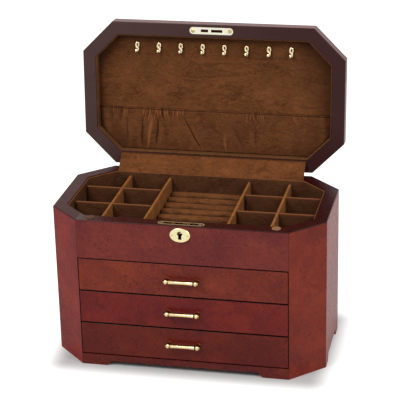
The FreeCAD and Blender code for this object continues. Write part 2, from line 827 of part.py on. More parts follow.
def escutcheon():
    z = case_height - keyhole_drop - keyhole_length / 2 + keyhole_radius / 2
    face = -half_depth

    def oval(width, height, y):
        ellipse = Part.Ellipse(Vector(lock_x, y, z), width / 2, height / 2)
        edge = ellipse.toShape()
        edge.rotate(Vector(lock_x, y, z), Vector(1, 0, 0), 90)
        return Part.Face(Part.Wire([edge]))

    plate = oval(escutcheon_width, escutcheon_height, face)
    plate = plate.extrude(Vector(0, -escutcheon_thickness, 0))
    front = face - escutcheon_thickness
    rim = [e for e in plate.Edges if abs(e.BoundBox.YMin - front) < 0.01
           and abs(e.BoundBox.YMax - front) < 0.01]
    plate = plate.makeChamfer(escutcheon_thickness * 0.4, rim)
    pan = oval(escutcheon_width - 2 * escutcheon_border, escutcheon_height - 2 * escutcheon_border,
               front)
    plate = plate.cut(pan.extrude(Vector(0, escutcheon_recess, 0)))
    plate = plate.cut(keyhole_cutter(front - 1, face + 1))
    pins = []
    seat = front + escutcheon_recess
    for side in (-1, 1):
        x = lock_x + side * escutcheon_pin_x
        hole = rod(escutcheon_pin_radius * 0.6 + screw_fit, Vector(x, seat - 1, z),
                   Vector(x, face + escutcheon_pin_length + screw_fit, z))
        plate = plate.cut(hole)
        drill("front_apron", hole)
        head = Part.makeCone(escutcheon_pin_radius, escutcheon_pin_radius * 0.5,
                             escutcheon_pin_radius * 0.8, Vector(x, seat, z), Vector(0, -1, 0))
        shank = rod(escutcheon_pin_radius * 0.6, Vector(x, seat, z),
                    Vector(x, face + escutcheon_pin_length, z))
        pins.append(head.fuse(shank).removeSplitter())
    keep("escutcheon", plate)
    keep("escutcheon_pins", *pins)


def lid_bumpers():
    """Thin cork dots on the front rim that the lid comes down on."""
    y = -half_depth + wall - bumper_radius - soft_gap
    dots = []
    for side in (-1, 1):
        dot = Part.makeCylinder(bumper_radius, bumper_thickness,
                                Vector(side * bumper_x, y, case_height))
        dots.append(dot.makeChamfer(bumper_round,
                                    level_edges(dot, case_height + bumper_thickness)))
    keep("lid_bumpers", *dots)


# Flap and the open lid
def open_point(y, z):
    """Where a point of the shut lid goes when the lid stands open."""
    turn = math.radians(-lid_open_angle)
    dy = y - hinge_y
    dz = z - hinge_z
    return (hinge_y + dy * math.cos(turn) - dz * math.sin(turn),
            hinge_z + dy * math.sin(turn) + dz * math.cos(turn))


def hinge_flap():
    """Strip of lining cloth from the back of the tray to the lid, pulled straight when open."""
    half = flap_thickness / 2
    case_y = half_depth - wall - lining_thickness - half
    case_top = case_height - tray_lining_drop
    border = half_depth - wall - lid_border_thickness
    tuck_y = border - half - soft_gap
    lip_z = lid_z + lid_border_drop - flap_lip_radius - soft_gap
    route = [
        (case_y, case_top - flap_tail), (case_y, case_top),
        open_point(border + flap_lip_radius, lip_z), open_point(tuck_y, lip_z),
        open_point(tuck_y, lid_z + flap_tail),
    ]
    reach = octagon(wall)[4].x - flap_end_gap
    strip = ribbon(route, half, -reach, reach)
    lip = [open_point(border + flap_lip_radius, lip_z), open_point(tuck_y, lip_z)]
    roll = ribbon(lip, flap_lip_radius * 0.7, -reach, reach)
    keep("hinge_flap", strip.fuse(roll).removeSplitter())


def ribbon(route, half, x0, x1):
    """Cloth strip whose section follows straight runs in Y and Z, round at each turn."""
    pieces = []
    for (ya, za), (yb, zb) in zip(route, route[1:]):
        length = math.hypot(yb - ya, zb - za)
        ny = -(zb - za) / length * half
        nz = (yb - ya) / length * half
        pieces.append(side_profile([(ya + ny, za + nz), (yb + ny, zb + nz),
                                    (yb - ny, zb - nz), (ya - ny, za - nz)], x0, x1))
    for y, z in route[1:-1]:
        pieces.append(rod(half, Vector(x0, y, z), Vector(x1, y, z)))
    return pieces[0].fuse(pieces[1:])


lid_parts = [
    "lid_front_rail", "lid_right_rail", "lid_back_rail", "lid_left_rail", "lid_corner_rails",
    "lid_top_panel", "lid_lining_panel", "lid_lining_border", "lid_pocket", "necklace_hooks",
    "keeper_plate", "keeper_screws", "hinge_lid_leaves", "hinge_lid_screws",
]


def swing_lid_open():
    for name in lid_parts:
        for solid in parts[name]:
            solid.rotate(Vector(0, hinge_y, hinge_z), Vector(1, 0, 0), -lid_open_angle)


def footprint_middle():
    """Y of the middle of everything, from the foremost pull to the back of the open lid."""
    low = parts["top_drawer_pull"][0].optimalBoundingBox(True, False).YMin
    high = parts["lid_top_panel"][0].optimalBoundingBox(True, False).YMax
    return (low + high) / 2


def build():
    case_walls()
    tray()
    drawer_guides()
    for i, name in enumerate(drawer_names):
        drawer(i, name)
    lid()
    necklace_hooks()
    hinges()
    lock()
    lid_bumpers()
    hinge_flap()
    swing_lid_open()


def export():
    os.makedirs("parts", exist_ok=True)
    middle = footprint_middle()
    for name, solids in parts.items():
        moved = [solid.translated(Vector(0, -middle, 0)) for solid in solids]
        shape = moved[0] if len(moved) == 1 else Part.makeCompound(moved)
        shape.exportStep("parts/" + name + ".step")
    print(len(parts), "sub-parts, origin", round(middle, 3), "mm behind the middle of the case")


build()
export()
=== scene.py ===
# %% [markdown]
# # An eight-sided jewellery chest
#
# This file dresses a measured model of a wooden jewellery chest: mottled red veneer outside,
# brown suede inside, pale polished brass for the fittings. The measured model is loaded first
# and stays where it is. Hard pieces keep their measured shape and get a finish here. Soft
# pieces are made again as cloth and padding, in the places that the measured ones hold.

# %% Load the measured model
import json
import math

import bmesh
import bpy
from mathutils import Matrix, Vector, noise


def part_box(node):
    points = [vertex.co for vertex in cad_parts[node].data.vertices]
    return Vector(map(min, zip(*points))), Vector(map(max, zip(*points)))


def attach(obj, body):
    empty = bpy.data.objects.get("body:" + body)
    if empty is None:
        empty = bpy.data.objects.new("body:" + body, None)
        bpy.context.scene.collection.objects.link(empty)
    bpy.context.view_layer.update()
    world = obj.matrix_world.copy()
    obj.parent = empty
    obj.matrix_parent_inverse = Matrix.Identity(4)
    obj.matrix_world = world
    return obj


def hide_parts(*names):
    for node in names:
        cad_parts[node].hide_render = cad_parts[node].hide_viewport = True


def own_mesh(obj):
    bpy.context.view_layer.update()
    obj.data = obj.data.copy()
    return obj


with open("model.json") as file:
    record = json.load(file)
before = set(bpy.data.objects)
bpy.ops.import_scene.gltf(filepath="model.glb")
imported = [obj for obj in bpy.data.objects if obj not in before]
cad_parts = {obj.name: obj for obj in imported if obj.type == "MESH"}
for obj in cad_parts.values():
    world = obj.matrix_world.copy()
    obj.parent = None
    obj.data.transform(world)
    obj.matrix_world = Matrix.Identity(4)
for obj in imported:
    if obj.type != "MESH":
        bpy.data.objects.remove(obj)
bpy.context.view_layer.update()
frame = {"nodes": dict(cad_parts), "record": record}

# %% [markdown]
# Every size below is read from the measured model, so the cloth follows the wood. Work is done
# in millimetres round the middle of the case and turned into metres only when a mesh is made.

# %% Sizes that the cloth has to fit
MM = 0.001


def span(node):
    """Lowest and highest corner of a measured piece, in millimetres."""
    low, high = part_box(node)
    return [value / MM for value in low], [value / MM for value in high]


floor_low, floor_high = span("case_floor")
case_middle = (floor_low[1] + floor_high[1]) / 2
to_case = Vector((0, case_middle, 0))
half_width = span("right_side_panel")[1][0]
half_depth = span("back_panel")[1][1] - case_middle
front_half = span("front_apron")[1][0]
corner_cut = half_width - front_half
wall = half_width - floor_high[0]
rim_z = span("front_apron")[1][2]
tray_floor = span("tray_floor_lining")[1][2]
print("case", round(2 * half_width), "by", round(2 * half_depth), "by", round(rim_z, 1), "mm")

# %% [markdown]
# The chest is shown open, and the measured model stands open too. The linings of the lid are
# easier to draw lying level, as in a shut lid, so each of their points is swung open last.

# %% Where the open lid stands
hinge = next(j for j in frame["record"]["behaviour"]["joints"] if j["name"] == "lid_hinge")
hinge_at = Vector(hinge["pos_m"]) / MM - to_case
swing = Matrix.Rotation(-math.radians(hinge["range_deg"][1]), 4, "X")
lid_gap = 1.2
lid_z = rim_z + lid_gap


def opened(point):
    """Where a point of the shut lid is while the lid stands open."""
    return hinge_at + swing @ (Vector(point) - hinge_at)


print("lid stands open by", hinge["range_deg"][1], "degrees")

# %% [markdown]
# ## Camera
#
# The camera stands where the photographer stood: a little to the right, about twenty degrees
# above, and far away with a long lens, which keeps the upright edges nearly parallel.

# %% Camera
view_turn = math.radians(12.65)
view_lift = math.radians(21.86)
view_roll = math.radians(-1.41)
view_distance = 2306.4
focal_length = 1578.3
picture_width = 400
sensor_width = 36
aim = Vector((4.33, case_middle, 224.4))
back = Vector((math.sin(view_turn) * math.cos(view_lift),
               -math.cos(view_turn) * math.cos(view_lift), math.sin(view_lift)))
level = Vector((math.cos(view_turn), math.sin(view_turn), 0))
upright = back.cross(level)
right = math.cos(view_roll) * level + math.sin(view_roll) * upright
up = math.cos(view_roll) * upright - math.sin(view_roll) * level
lens = bpy.data.cameras.new("camera")
lens.sensor_width = sensor_width
lens.lens = sensor_width * focal_length / picture_width
lens.clip_end = 50
camera = bpy.data.objects.new("camera", lens)
bpy.context.scene.collection.objects.link(camera)
turn = Matrix((right, up, back)).transposed().to_4x4()
camera.matrix_world = Matrix.Translation((aim + back * view_distance) * MM) @ turn
bpy.context.scene.camera = camera
print("camera lens", round(lens.lens, 1), "mm")

# %% [markdown]
# ## Small helpers for shader nodes
#
# Colours are written as the eye reads them on a screen and turned into the linear values that
# a shader needs. The other helpers only save typing: each adds one node and sets its sockets.

# %% Colours
def tone(red, green, blue):
    """A screen colour, 0 to 255, as a linear colour for a shader."""
    values = []
    for part in (red, green, blue):
        part = part / 255
        values.append(part / 12.92 if part <= 0.04045 else ((part + 0.055) / 1.055) ** 2.4)
    return (*values, 1.0)


print("suede brown for a shader:", [round(value, 3) for value in tone(103, 62, 34)])


# %% Nodes and plain sums
def node(tree, kind, sockets=None, **settings):
    """Add a shader node; each socket gets a plain value or a link from another socket."""
    made = tree.nodes.new("ShaderNode" + kind)
    for key, value in settings.items():
        setattr(made, key, value)
    for key, value in (sockets or {}).items():
        if isinstance(value, bpy.types.NodeSocket):
            tree.links.new(value, made.inputs[key])
        else:
            made.inputs[key].default_value = value
    return made


def maths(tree, operation, first, second=0.0):
    """One sum on two values."""
    return node(tree, "Math", {0: first, 1: second}, operation=operation).outputs[0]


def times(tree, first, second):
    """One value times another."""
    return maths(tree, "MULTIPLY", first, second)


def plus(tree, first, second):
    """One value plus another."""
    return maths(tree, "ADD", first, second)


def smooth(tree, value, low, high, start=0.0, end=1.0):
    """A soft step: start below low, end above high."""
    step = {"Value": value, "From Min": low, "From Max": high, "To Min": start, "To Max": end}
    return node(tree, "MapRange", step, interpolation_type="SMOOTHSTEP").outputs[0]


def mixed(tree, amount, first, second, way="MIX"):
    """Two colours mixed by an amount."""
    made = node(tree, "Mix", {0: amount, 6: first, 7: second}, data_type="RGBA", blend_type=way)
    return made.outputs[2]


def tinted(tree, colour, red, green, blue):
    """A colour whose red, green and blue are each multiplied by a number."""
    return mixed(tree, 1.0, colour, (red, green, blue, 1), "MULTIPLY")


print("helpers for values and colours: maths, times, plus, smooth, mixed, tinted")


# %% Places, directions and noise
def here(tree):
    """Where each point of the piece is, in metres."""
    return node(tree, "TexCoord").outputs["Object"]


def apart(tree, vector):
    """The X, Y and Z of a vector."""
    return node(tree, "SeparateXYZ", {0: vector}).outputs


def vectors(tree, operation, first, second=(0, 0, 0)):
    """One sum on two vectors."""
    return node(tree, "VectorMath", {0: first, 1: second}, operation=operation).outputs[0]


def scaled(tree, vector, scale):
    """A vector made longer or shorter."""
    return node(tree, "VectorMath", {0: vector, "Scale": scale}, operation="SCALE").outputs[0]


def dot(tree, first, second):
    """How far one vector reaches along another."""
    made = node(tree, "VectorMath", {0: first, 1: second}, operation="DOT_PRODUCT")
    return made.outputs["Value"]


def cloud(tree, where, scale, detail=3.0, rough=0.5, twist=0.0):
    """Soft noise with so many waves to a metre."""
    sockets = {"Vector": where, "Scale": scale, "Detail": detail, "Roughness": rough,
               "Distortion": twist}
    return node(tree, "TexNoise", sockets).outputs["Fac"]


def drifting(tree, where, scale):
    """Broad coloured noise, one value for each direction."""
    return node(tree, "TexNoise", {"Vector": where, "Scale": scale, "Detail": 2.0}).outputs["Color"]


print("helpers for places and noise: here, apart, vectors, scaled, dot, cloud, drifting")


# %% Starting and ending a node group
KINDS = {"value": "NodeSocketFloat", "colour": "NodeSocketColor", "vector": "NodeSocketVector"}
SURFACE = [("Colour", "colour"), ("Roughness", "value"), ("Height", "value")]
MASK = [("Mask", "value")]


def new_group(name, takes, gives):
    """A shader node group; takes is (socket, kind, usual value) and gives is (socket, kind)."""
    tree = bpy.data.node_groups.new(name, "ShaderNodeTree")
    for label, kind, usual in takes:
        socket = tree.interface.new_socket(name=label, in_out="INPUT", socket_type=KINDS[kind])
        socket.default_value = usual
    for label, kind in gives:
        tree.interface.new_socket(name=label, in_out="OUTPUT", socket_type=KINDS[kind])
    return tree, tree.nodes.new("NodeGroupInput").outputs, tree.nodes.new("NodeGroupOutput").inputs


def hand_out(tree, gives, **results):
    """Link what a group has worked out to its outputs."""
    for label, result in results.items():
        tree.links.new(result, gives[label])
    print("made", tree.name)


# %% [markdown]
# ## Veneer figure
#
# Burl veneer is cut from knotty growth. It has no straight grain: it is a field of clouds, with
# small dark eyes and a few purple shadows where the stain sat deeper. Three layers of noise
# make the clouds, a cell pattern makes the eyes, and very fine noise makes specks and pores. A
# picture of real veneer would show the same knots on every board, so the figure is worked out.

# %% Group: burl figure, its clouds and shadows
burl, takes, gives = new_group(
    "Burl figure",
    [("Tone", "colour", tone(116, 45, 41)), ("Seed", "vector", (0, 0, 0)),
     ("Clouds", "value", 0.5), ("Shadows", "value", 0.5), ("Eyes", "value", 0.4)], SURFACE)
moved = vectors(burl, "ADD", here(burl), takes["Seed"])
drift = vectors(burl, "SUBTRACT", drifting(burl, moved, 22.0), (0.5, 0.5, 0.5))
swirl = vectors(burl, "ADD", moved, scaled(burl, drift, 0.012))
amber = tinted(burl, takes["Tone"], 1.30, 1.46, 1.22)
smoky = tinted(burl, takes["Tone"], 0.68, 0.62, 0.98)
broad = cloud(burl, swirl, 17.0, 4.0, 0.55, 0.4)
small = cloud(burl, swirl, 110.0, 5.0, 0.65, 0.4)
figure = plus(burl, times(burl, broad, 0.65), times(burl, small, 0.35))
light = times(burl, smooth(burl, figure, 0.48, 0.62), takes["Clouds"])
colour = mixed(burl, light, takes["Tone"], amber)
dark = times(burl, smooth(burl, figure, 0.52, 0.38), takes["Clouds"])
colour = mixed(burl, dark, colour, smoky)
shade = smooth(burl, cloud(burl, moved, 11.0, 3.0, 0.5, 0.8), 0.50, 0.72)
colour = mixed(burl, times(burl, shade, takes["Shadows"]), colour, smoky)
print("burl figure has", len(burl.nodes), "nodes so far")

# %% Burl figure: eyes, specks and pores
cells = node(burl, "TexVoronoi", {"Vector": swirl, "Scale": 190.0, "Randomness": 1.0})
chosen = smooth(burl, cloud(burl, moved, 40.0, 1.0), 0.42, 0.58)
eyes = smooth(burl, cells.outputs["Distance"], 0.06, 0.36, 1.0, 0.0)
eyes = times(burl, times(burl, eyes, chosen), takes["Eyes"])
colour = mixed(burl, eyes, colour, tinted(burl, takes["Tone"], 0.30, 0.28, 0.45))
mottle = cloud(burl, swirl, 360.0, 3.0, 0.65, 0.4)
colour = mixed(burl, smooth(burl, mottle, 0.50, 0.36, 0.0, 0.45), colour, smoky)
colour = mixed(burl, smooth(burl, mottle, 0.50, 0.64, 0.0, 0.40), colour, amber)
pores = cloud(burl, swirl, 1100.0, 2.0, 0.7, 0.3)
colour = mixed(burl, smooth(burl, pores, 0.52, 0.72, 0.0, 0.45), colour, smoky)
hand_out(burl, gives, Colour=colour, Roughness=smooth(burl, small, 0.3, 0.7, 0.24, 0.32),
         Height=plus(burl, times(burl, pores, 0.4), small))

# %% [markdown]
# ## Polished rims
#
# Where case and lid meet, the edge of the wood is stained almost black and polished. The rim is
# part of the same boards as the sides, so one material has both: a mask picks what lies within
# the rounding of the edge. It is measured from the rim's own plane, so it turns with the lid.

# %% Group: what lies close to the rim's plane
rim_band, takes, gives = new_group(
    "Polished rim",
    [("Way", "vector", (0, 0, 1)), ("Level", "value", 0.2286), ("Depth", "value", 0.0014)], MASK)
below = maths(rim_band, "SUBTRACT", takes["Level"], dot(rim_band, here(rim_band), takes["Way"]))
share = maths(rim_band, "DIVIDE", below, takes["Depth"])
hand_out(rim_band, gives, Mask=smooth(rim_band, share, 0.75, 1.05, 1.0, 0.0))

# %% [markdown]
# The inner faces of the boards are dark too: stain where they show above the lining, and
# painted shade further down inside the case. They are the faces nearer the middle of the case
# than the middle of each board is: one limit for the sides, one for front and back, and one for
# the slanted corners.

# %% Group: faces that look into the case
inner, takes, gives = new_group(
    "Inner faces",
    [("Middle", "vector", (0, 0, 0)), ("Half width", "value", 0.19), ("Half depth", "value", 0.1),
     ("Across corner", "value", 0.25)], MASK)
place = vectors(inner, "SUBTRACT", here(inner), takes["Middle"])
place = apart(inner, vectors(inner, "ABSOLUTE", place))
past = maths(inner, "SUBTRACT", place["X"], takes["Half width"])
past = maths(inner, "MAXIMUM", past, maths(inner, "SUBTRACT", place["Y"], takes["Half depth"]))
slanted = plus(inner, place["X"], place["Y"])
slanted = maths(inner, "SUBTRACT", slanted, takes["Across corner"])
past = maths(inner, "MAXIMUM", past, slanted)
hand_out(inner, gives, Mask=smooth(inner, past, -0.0005, 0.0005, 1.0, 0.0))

# %% [markdown]
# ## Plain grain, seams and edges
#
# Plain wood has long straight pores. Noise that is squeezed across the grain and left long with
# it gives them, with a slower copy of itself for the bands. Two boards that meet leave a dark
# line. The edges of a drawer front get a dark line too, as painted shade of the gap round the
# drawer. A line is only a distance from a plane, so it is drawn as a mask and stays thin at any
# size of picture.

# %% Group: straight pores of plain wood
straight, takes, gives = new_group(
    "Straight grain",
    [("Light", "colour", tone(120, 80, 60)), ("Dark", "colour", tone(70, 40, 30)),
     ("Stretch", "vector", (20, 400, 400)), ("Bands", "value", 1.0)], SURFACE)
drawn = vectors(straight, "MULTIPLY", here(straight), takes["Stretch"])
fibre = cloud(straight, drawn, 1.0, 5.0, 0.6, 0.4)
bands = smooth(straight, cloud(straight, drawn, 0.12, 3.0, 0.5, 1.5), 0.35, 0.65)
bands = times(straight, bands, takes["Bands"])
streak = times(straight, smooth(straight, fibre, 0.35, 0.7), 0.6)
amount = plus(straight, times(straight, bands, 0.4), streak)
hand_out(straight, gives, Colour=mixed(straight, amount, takes["Light"], takes["Dark"]),
         Roughness=smooth(straight, fibre, 0.3, 0.7, 0.28, 0.42), Height=fibre)

# %% Group: dark line where two boards meet
joint_line, takes, gives = new_group(
    "Joint line", [("Place", "value", 0.153), ("Width", "value", 0.0007)], MASK)
away = maths(joint_line, "ABSOLUTE", apart(joint_line, here(joint_line))["X"])
away = maths(joint_line, "ABSOLUTE", maths(joint_line, "SUBTRACT", away, takes["Place"]))
near = maths(joint_line, "DIVIDE", away, takes["Width"])
hand_out(joint_line, gives, Mask=smooth(joint_line, near, 0.2, 1.0, 1.0, 0.0))

# %% Group: a line along the edges of a drawer front or a plate; skip is the way it faces
arris, takes, gives = new_group(
    "Edge line",
    [("Low", "vector", (0, 0, 0)), ("High", "vector", (1, 1, 1)), ("Width", "value", 0.0007),
     ("Skip", "vector", (0, 1, 0))], MASK)
place = here(arris)
nearest = vectors(arris, "MINIMUM", vectors(arris, "SUBTRACT", place, takes["Low"]),
                  vectors(arris, "SUBTRACT", takes["High"], place))
nearest = apart(arris, vectors(arris, "ADD", nearest, takes["Skip"]))
across_or_up = maths(arris, "MINIMUM", nearest["X"], nearest["Z"])
nearest = maths(arris, "MINIMUM", across_or_up, nearest["Y"])
nearest = maths(arris, "DIVIDE", nearest, takes["Width"])
hand_out(arris, gives, Mask=smooth(arris, nearest, 0.45, 1.0, 1.0, 0.0))

# %% [markdown]
# ## Suede nap
#
# Suede is short fibre that lies one way or the other wherever something has brushed it. That
# gives soft patches of light and dark and fine creases. Faces that look up get a pale bloom,
# partly wear along rubbed edges and partly painted highlight, and cloth with folds is painted
# darker in hollows and paler on ridges, as painted shade and highlight. The sheen is one number
# for the whole cloth and so is set on the shader itself.

# %% Group: brushed nap, its patches
nap, takes, gives = new_group(
    "Brushed nap",
    [("Tone", "colour", tone(103, 62, 34)), ("Seed", "vector", (0, 0, 0)),
     ("Patches", "value", 1.0), ("Rubbed", "value", 0.0), ("Rubbed way", "vector", (0, 0, 1)),
     ("Fold", "value", 0.0)], SURFACE)
moved = vectors(nap, "ADD", here(nap), takes["Seed"])
bent = vectors(nap, "ADD", moved, scaled(nap, drifting(nap, moved, 9.0), 0.025))
drawn = vectors(nap, "MULTIPLY", bent, (0.5, 0.85, 1.2))
pale = tinted(nap, takes["Tone"], 1.60, 1.56, 1.50)
deep = tinted(nap, takes["Tone"], 0.48, 0.46, 0.45)
brushed = cloud(nap, bent, 26.0, 6.0, 0.62, 0.4)
strokes = cloud(nap, drawn, 190.0, 5.0, 0.7, 0.8)
patch = plus(nap, times(nap, brushed, 0.5), times(nap, strokes, 0.5))
low = times(nap, smooth(nap, patch, 0.50, 0.36), takes["Patches"])
high = times(nap, smooth(nap, patch, 0.50, 0.66), takes["Patches"])
colour = mixed(nap, times(nap, low, 0.75), takes["Tone"], deep)
colour = mixed(nap, times(nap, high, 0.75), colour, pale)
print("brushed nap has", len(nap.nodes), "nodes so far")

# %% [markdown]
# Creases and scuffs are thin lines. They follow one level of a slow noise, as a contour line
# follows one height on a map, and they fade out here and there instead of closing into loops.

# %% Brushed nap: creases, scuffs and fibre
slow = cloud(nap, drawn, 48.0, 5.0, 0.62, 0.9)
fades = smooth(nap, cloud(nap, moved, 28.0, 2.0), 0.38, 0.56)


def contour(at, width):
    """A thin line where the slow noise has one level."""
    off = maths(nap, "ABSOLUTE", maths(nap, "SUBTRACT", slow, at))
    return times(nap, smooth(nap, off, 0.0, width, 1.0, 0.0), fades)


crease = contour(0.45, 0.034)
scuff = contour(0.53, 0.036)
colour = mixed(nap, times(nap, times(nap, crease, takes["Patches"]), 0.55), colour, deep)
colour = mixed(nap, times(nap, times(nap, scuff, takes["Patches"]), 0.44), colour, pale)
fibre = cloud(nap, moved, 1500.0, 2.0, 0.6)
coarse = cloud(nap, drawn, 560.0, 3.0, 0.7, 0.5)
colour = mixed(nap, smooth(nap, fibre, 0.4, 0.7, 0.0, 0.25), colour, pale)
colour = mixed(nap, smooth(nap, coarse, 0.50, 0.68, 0.0, 0.45), colour, pale)
colour = mixed(nap, smooth(nap, coarse, 0.50, 0.32, 0.0, 0.45), colour, deep)
print("brushed nap has", len(nap.nodes), "nodes so far")

# %% Brushed nap: wear and painted highlight on faces that look up, painted shade in folds
turned = dot(nap, node(nap, "TexCoord").outputs["Normal"], takes["Rubbed way"])
# Faces that look up are paler: partly wear, partly painted highlight.
top_highlight_and_wear = times(nap, smooth(nap, turned, 0.3, 0.9), takes["Rubbed"])
paler = tinted(nap, takes["Tone"], 3.0, 2.95, 2.8)
painted_fold_shade = tinted(nap, takes["Tone"], 0.30, 0.28, 0.26)
colour = mixed(nap, top_highlight_and_wear, colour, paler)
# Painted shade in hollows and painted highlight on ridges, read from the fold number.
colour = mixed(nap, smooth(nap, takes["Fold"], 0.0, -1.0), colour, painted_fold_shade)
colour = mixed(nap, smooth(nap, takes["Fold"], 0.0, 1.0, 0.0, 0.48), colour, paler)
rise = maths(nap, "SUBTRACT", times(nap, fibre, 0.25), times(nap, crease, 0.4))
hand_out(nap, gives, Colour=colour, Roughness=smooth(nap, patch, 0.3, 0.7, 0.95, 0.80),
         Height=plus(nap, rise, times(nap, brushed, 0.4)))

# %% [markdown]
# ## Brass
#
# Lacquered brass is a clean mirror with faint polishing lines and a slightly deeper yellow where
# the lacquer is thick. The lines come from noise drawn out along one axis. A pull or a hook is
# painted darker on the faces that turn away from the front, as painted reflection, so a second
# group tells by the way a face looks which side it is on.

# %% Group: polished metal
polish, takes, gives = new_group(
    "Polished metal",
    [("Clean", "colour", tone(250, 236, 196)), ("Deep", "colour", tone(222, 190, 126)),
     ("Lowest roughness", "value", 0.12)], SURFACE)
place = here(polish)
lines = cloud(polish, vectors(polish, "MULTIPLY", place, (60.0, 1500.0, 1500.0)), 1.0, 3.0, 0.6)
tarnish = cloud(polish, place, 180.0, 4.0, 0.6, 0.5)
aged = smooth(polish, tarnish, 0.42, 0.75, 0.0, 0.55)
spread = smooth(polish, plus(polish, lines, tarnish), 0.7, 1.3, 0.0, 0.16)
hand_out(polish, gives, Colour=mixed(polish, aged, takes["Clean"], takes["Deep"]),
         Roughness=plus(polish, spread, takes["Lowest roughness"]), Height=lines)

# %% Group: the side of a fitting that faces the front, without the painted dark reflection
painted_reflection_side, takes, gives = new_group(
    "Rubbed front",
    [("Way", "vector", (0, -0.96, 0.28)), ("Dull below", "value", 0.55),
     ("Clean above", "value", 0.9)], MASK)
turned = dot(painted_reflection_side, node(painted_reflection_side, "TexCoord").outputs["Normal"], takes["Way"])
hand_out(painted_reflection_side, gives,
         Mask=smooth(painted_reflection_side, turned, takes["Dull below"], takes["Clean above"]))

# %% [markdown]
# ## From groups to materials
#
# A material places one or two groups, hands their colour, roughness and height to the shader,
# and sets the numbers that are the same all over on the shader itself.

# %% What every material needs
def new_material(name):
    """A material with its shader, ready for a group."""
    made = bpy.data.materials.new(name)
    made.use_nodes = True
    tree = made.node_tree
    return made, tree, tree.nodes["Principled BSDF"]


def use_group(tree, group, **values):
    """Place a group in a material and fill its inputs; underscores stand for spaces."""
    sockets = {label.replace("_", " "): value for label, value in values.items()}
    return node(tree, "Group", sockets, node_tree=group).outputs


def cover(tree, shader, colour, surface, strength, distance):
    """Hand the shader a colour and the roughness and bumps of a group; distance in metres."""
    bump = node(tree, "Bump", {"Strength": strength, "Distance": distance,
                               "Height": surface["Height"]})
    for result, label in ((colour, "Base Color"), (surface["Roughness"], "Roughness"),
                          (bump.outputs[0], "Normal")):
        tree.links.new(result, shader.inputs[label])


dressed_pieces = []


def dress(finish, *names):
    """Give measured pieces their finish."""
    for name in names:
        mesh = frame["nodes"][name].data
        mesh.materials.clear()
        mesh.materials.append(finish)
        dressed_pieces.append(name)
    print(finish.name, "on", ", ".join(names))


# %% [markdown]
# ## Veneered boards
#
# Every board was veneered from a leaf of its own, so each has its own tone and its own place in
# the figure. The rim is painted paler on the left and darker on the right, as painted light and
# shade, and the lid's rim has a greyer tone, as painted reflection. Lacquer over veneer mirrors
# less than glass does, and less again on the boards that face the dark side of the room.

# %% Veneer with its stained rim
RIM_UP = (0, 0, 1)
RIM_OPEN = tuple(swing.to_3x3() @ Vector((0, 0, -1)))
open_level = (opened((0, 0, lid_z)) + to_case).dot(Vector(RIM_OPEN)) * MM
SEAM_DARK = tone(30, 12, 12)
EDGE_GAP_SHADE = tone(30, 10, 9)
past_middle = half_width - wall / 2, half_depth - wall / 2
across_corner = half_width + half_depth - corner_cut - 0.7 * wall


def veneer(name, base, seed, clouds=0.85, shadows=0.45, lid=False, rim_tone=(58, 21, 19),
           gloss=0.3, edges=None):
    """Mottled lacquered veneer with a dark polished rim, painted paler on the left and darker on
    the right; edges is a board whose edges get a dark line of painted shade.
    """
    made, tree, shader = new_material(name)
    figure = use_group(tree, burl, Tone=tone(*base), Seed=seed, Clouds=clouds, Shadows=shadows,
                       Eyes=0.9)
    grain = use_group(tree, straight, Light=tone(*rim_tone),
                      Dark=tone(*[0.93 * part for part in rim_tone]), Stretch=(5, 40, 40))
    stained = use_group(tree, rim_band, Way=RIM_OPEN if lid else RIM_UP,
                        Level=open_level if lid else rim_z * MM)["Mask"]
    if not lid:
        # Inner faces take the rim's dark colour: stain near the top, painted shade further down.
        inside = use_group(tree, inner, Middle=tuple(to_case * MM),
                           Half_width=past_middle[0] * MM, Half_depth=past_middle[1] * MM,
                           Across_corner=across_corner * MM)["Mask"]
        stained = maths(tree, "MAXIMUM", stained, inside)
    across = apart(tree, here(tree))["X"]
    # Painted light and shade: the rim is paler to the left and darker to the right.
    painted_lit_rim = tinted(tree, grain["Colour"], 1.40, 1.65, 1.60)
    painted_shaded_rim = tinted(tree, grain["Colour"], 0.85, 0.60, 0.60)
    rim_colour = mixed(tree, smooth(tree, across, -half_width * MM, half_width * MM), painted_lit_rim, painted_shaded_rim)
    colour = mixed(tree, stained, figure["Colour"], rim_colour)
    if not lid:
        seam = use_group(tree, joint_line, Place=front_half * MM)["Mask"]
        colour = mixed(tree, times(tree, seam, 0.6), colour, SEAM_DARK)
    # Painted shade of the gap round a drawer front, as a dark line along its edges.
    if edges:
        low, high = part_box(edges)
        line = use_group(tree, arris, Low=tuple(low), High=tuple(high))["Mask"]
        colour = mixed(tree, times(tree, line, 0.9), colour, EDGE_GAP_SHADE)
    cover(tree, shader, colour, figure, 0.04, 0.0002)
    shader.inputs["IOR"].default_value = 1.35
    shader.inputs["Specular IOR Level"].default_value = gloss
    return made


print("the open lid's rim faces", [round(value, 3) for value in RIM_OPEN])


# %% Veneer on the front
dress(veneer("veneer_apron", (118, 46, 40), (0.4, 0, 0.3), clouds=0.8, shadows=0.3),
      "front_apron")
dress(veneer("veneer_base", (101, 37, 30), (9, 0, 4)), "front_base_rail")
for drawer, base, seed in (("top_drawer", (123, 47, 32), (3, 0, 1)),
                           ("middle_drawer", (114, 33, 28), (5, 0, 2)),
                           ("bottom_drawer", (103, 32, 22), (8, 0, 4))):
    front = drawer + "_front"
    dress(veneer("veneer_" + drawer, base, seed, edges=front), front)

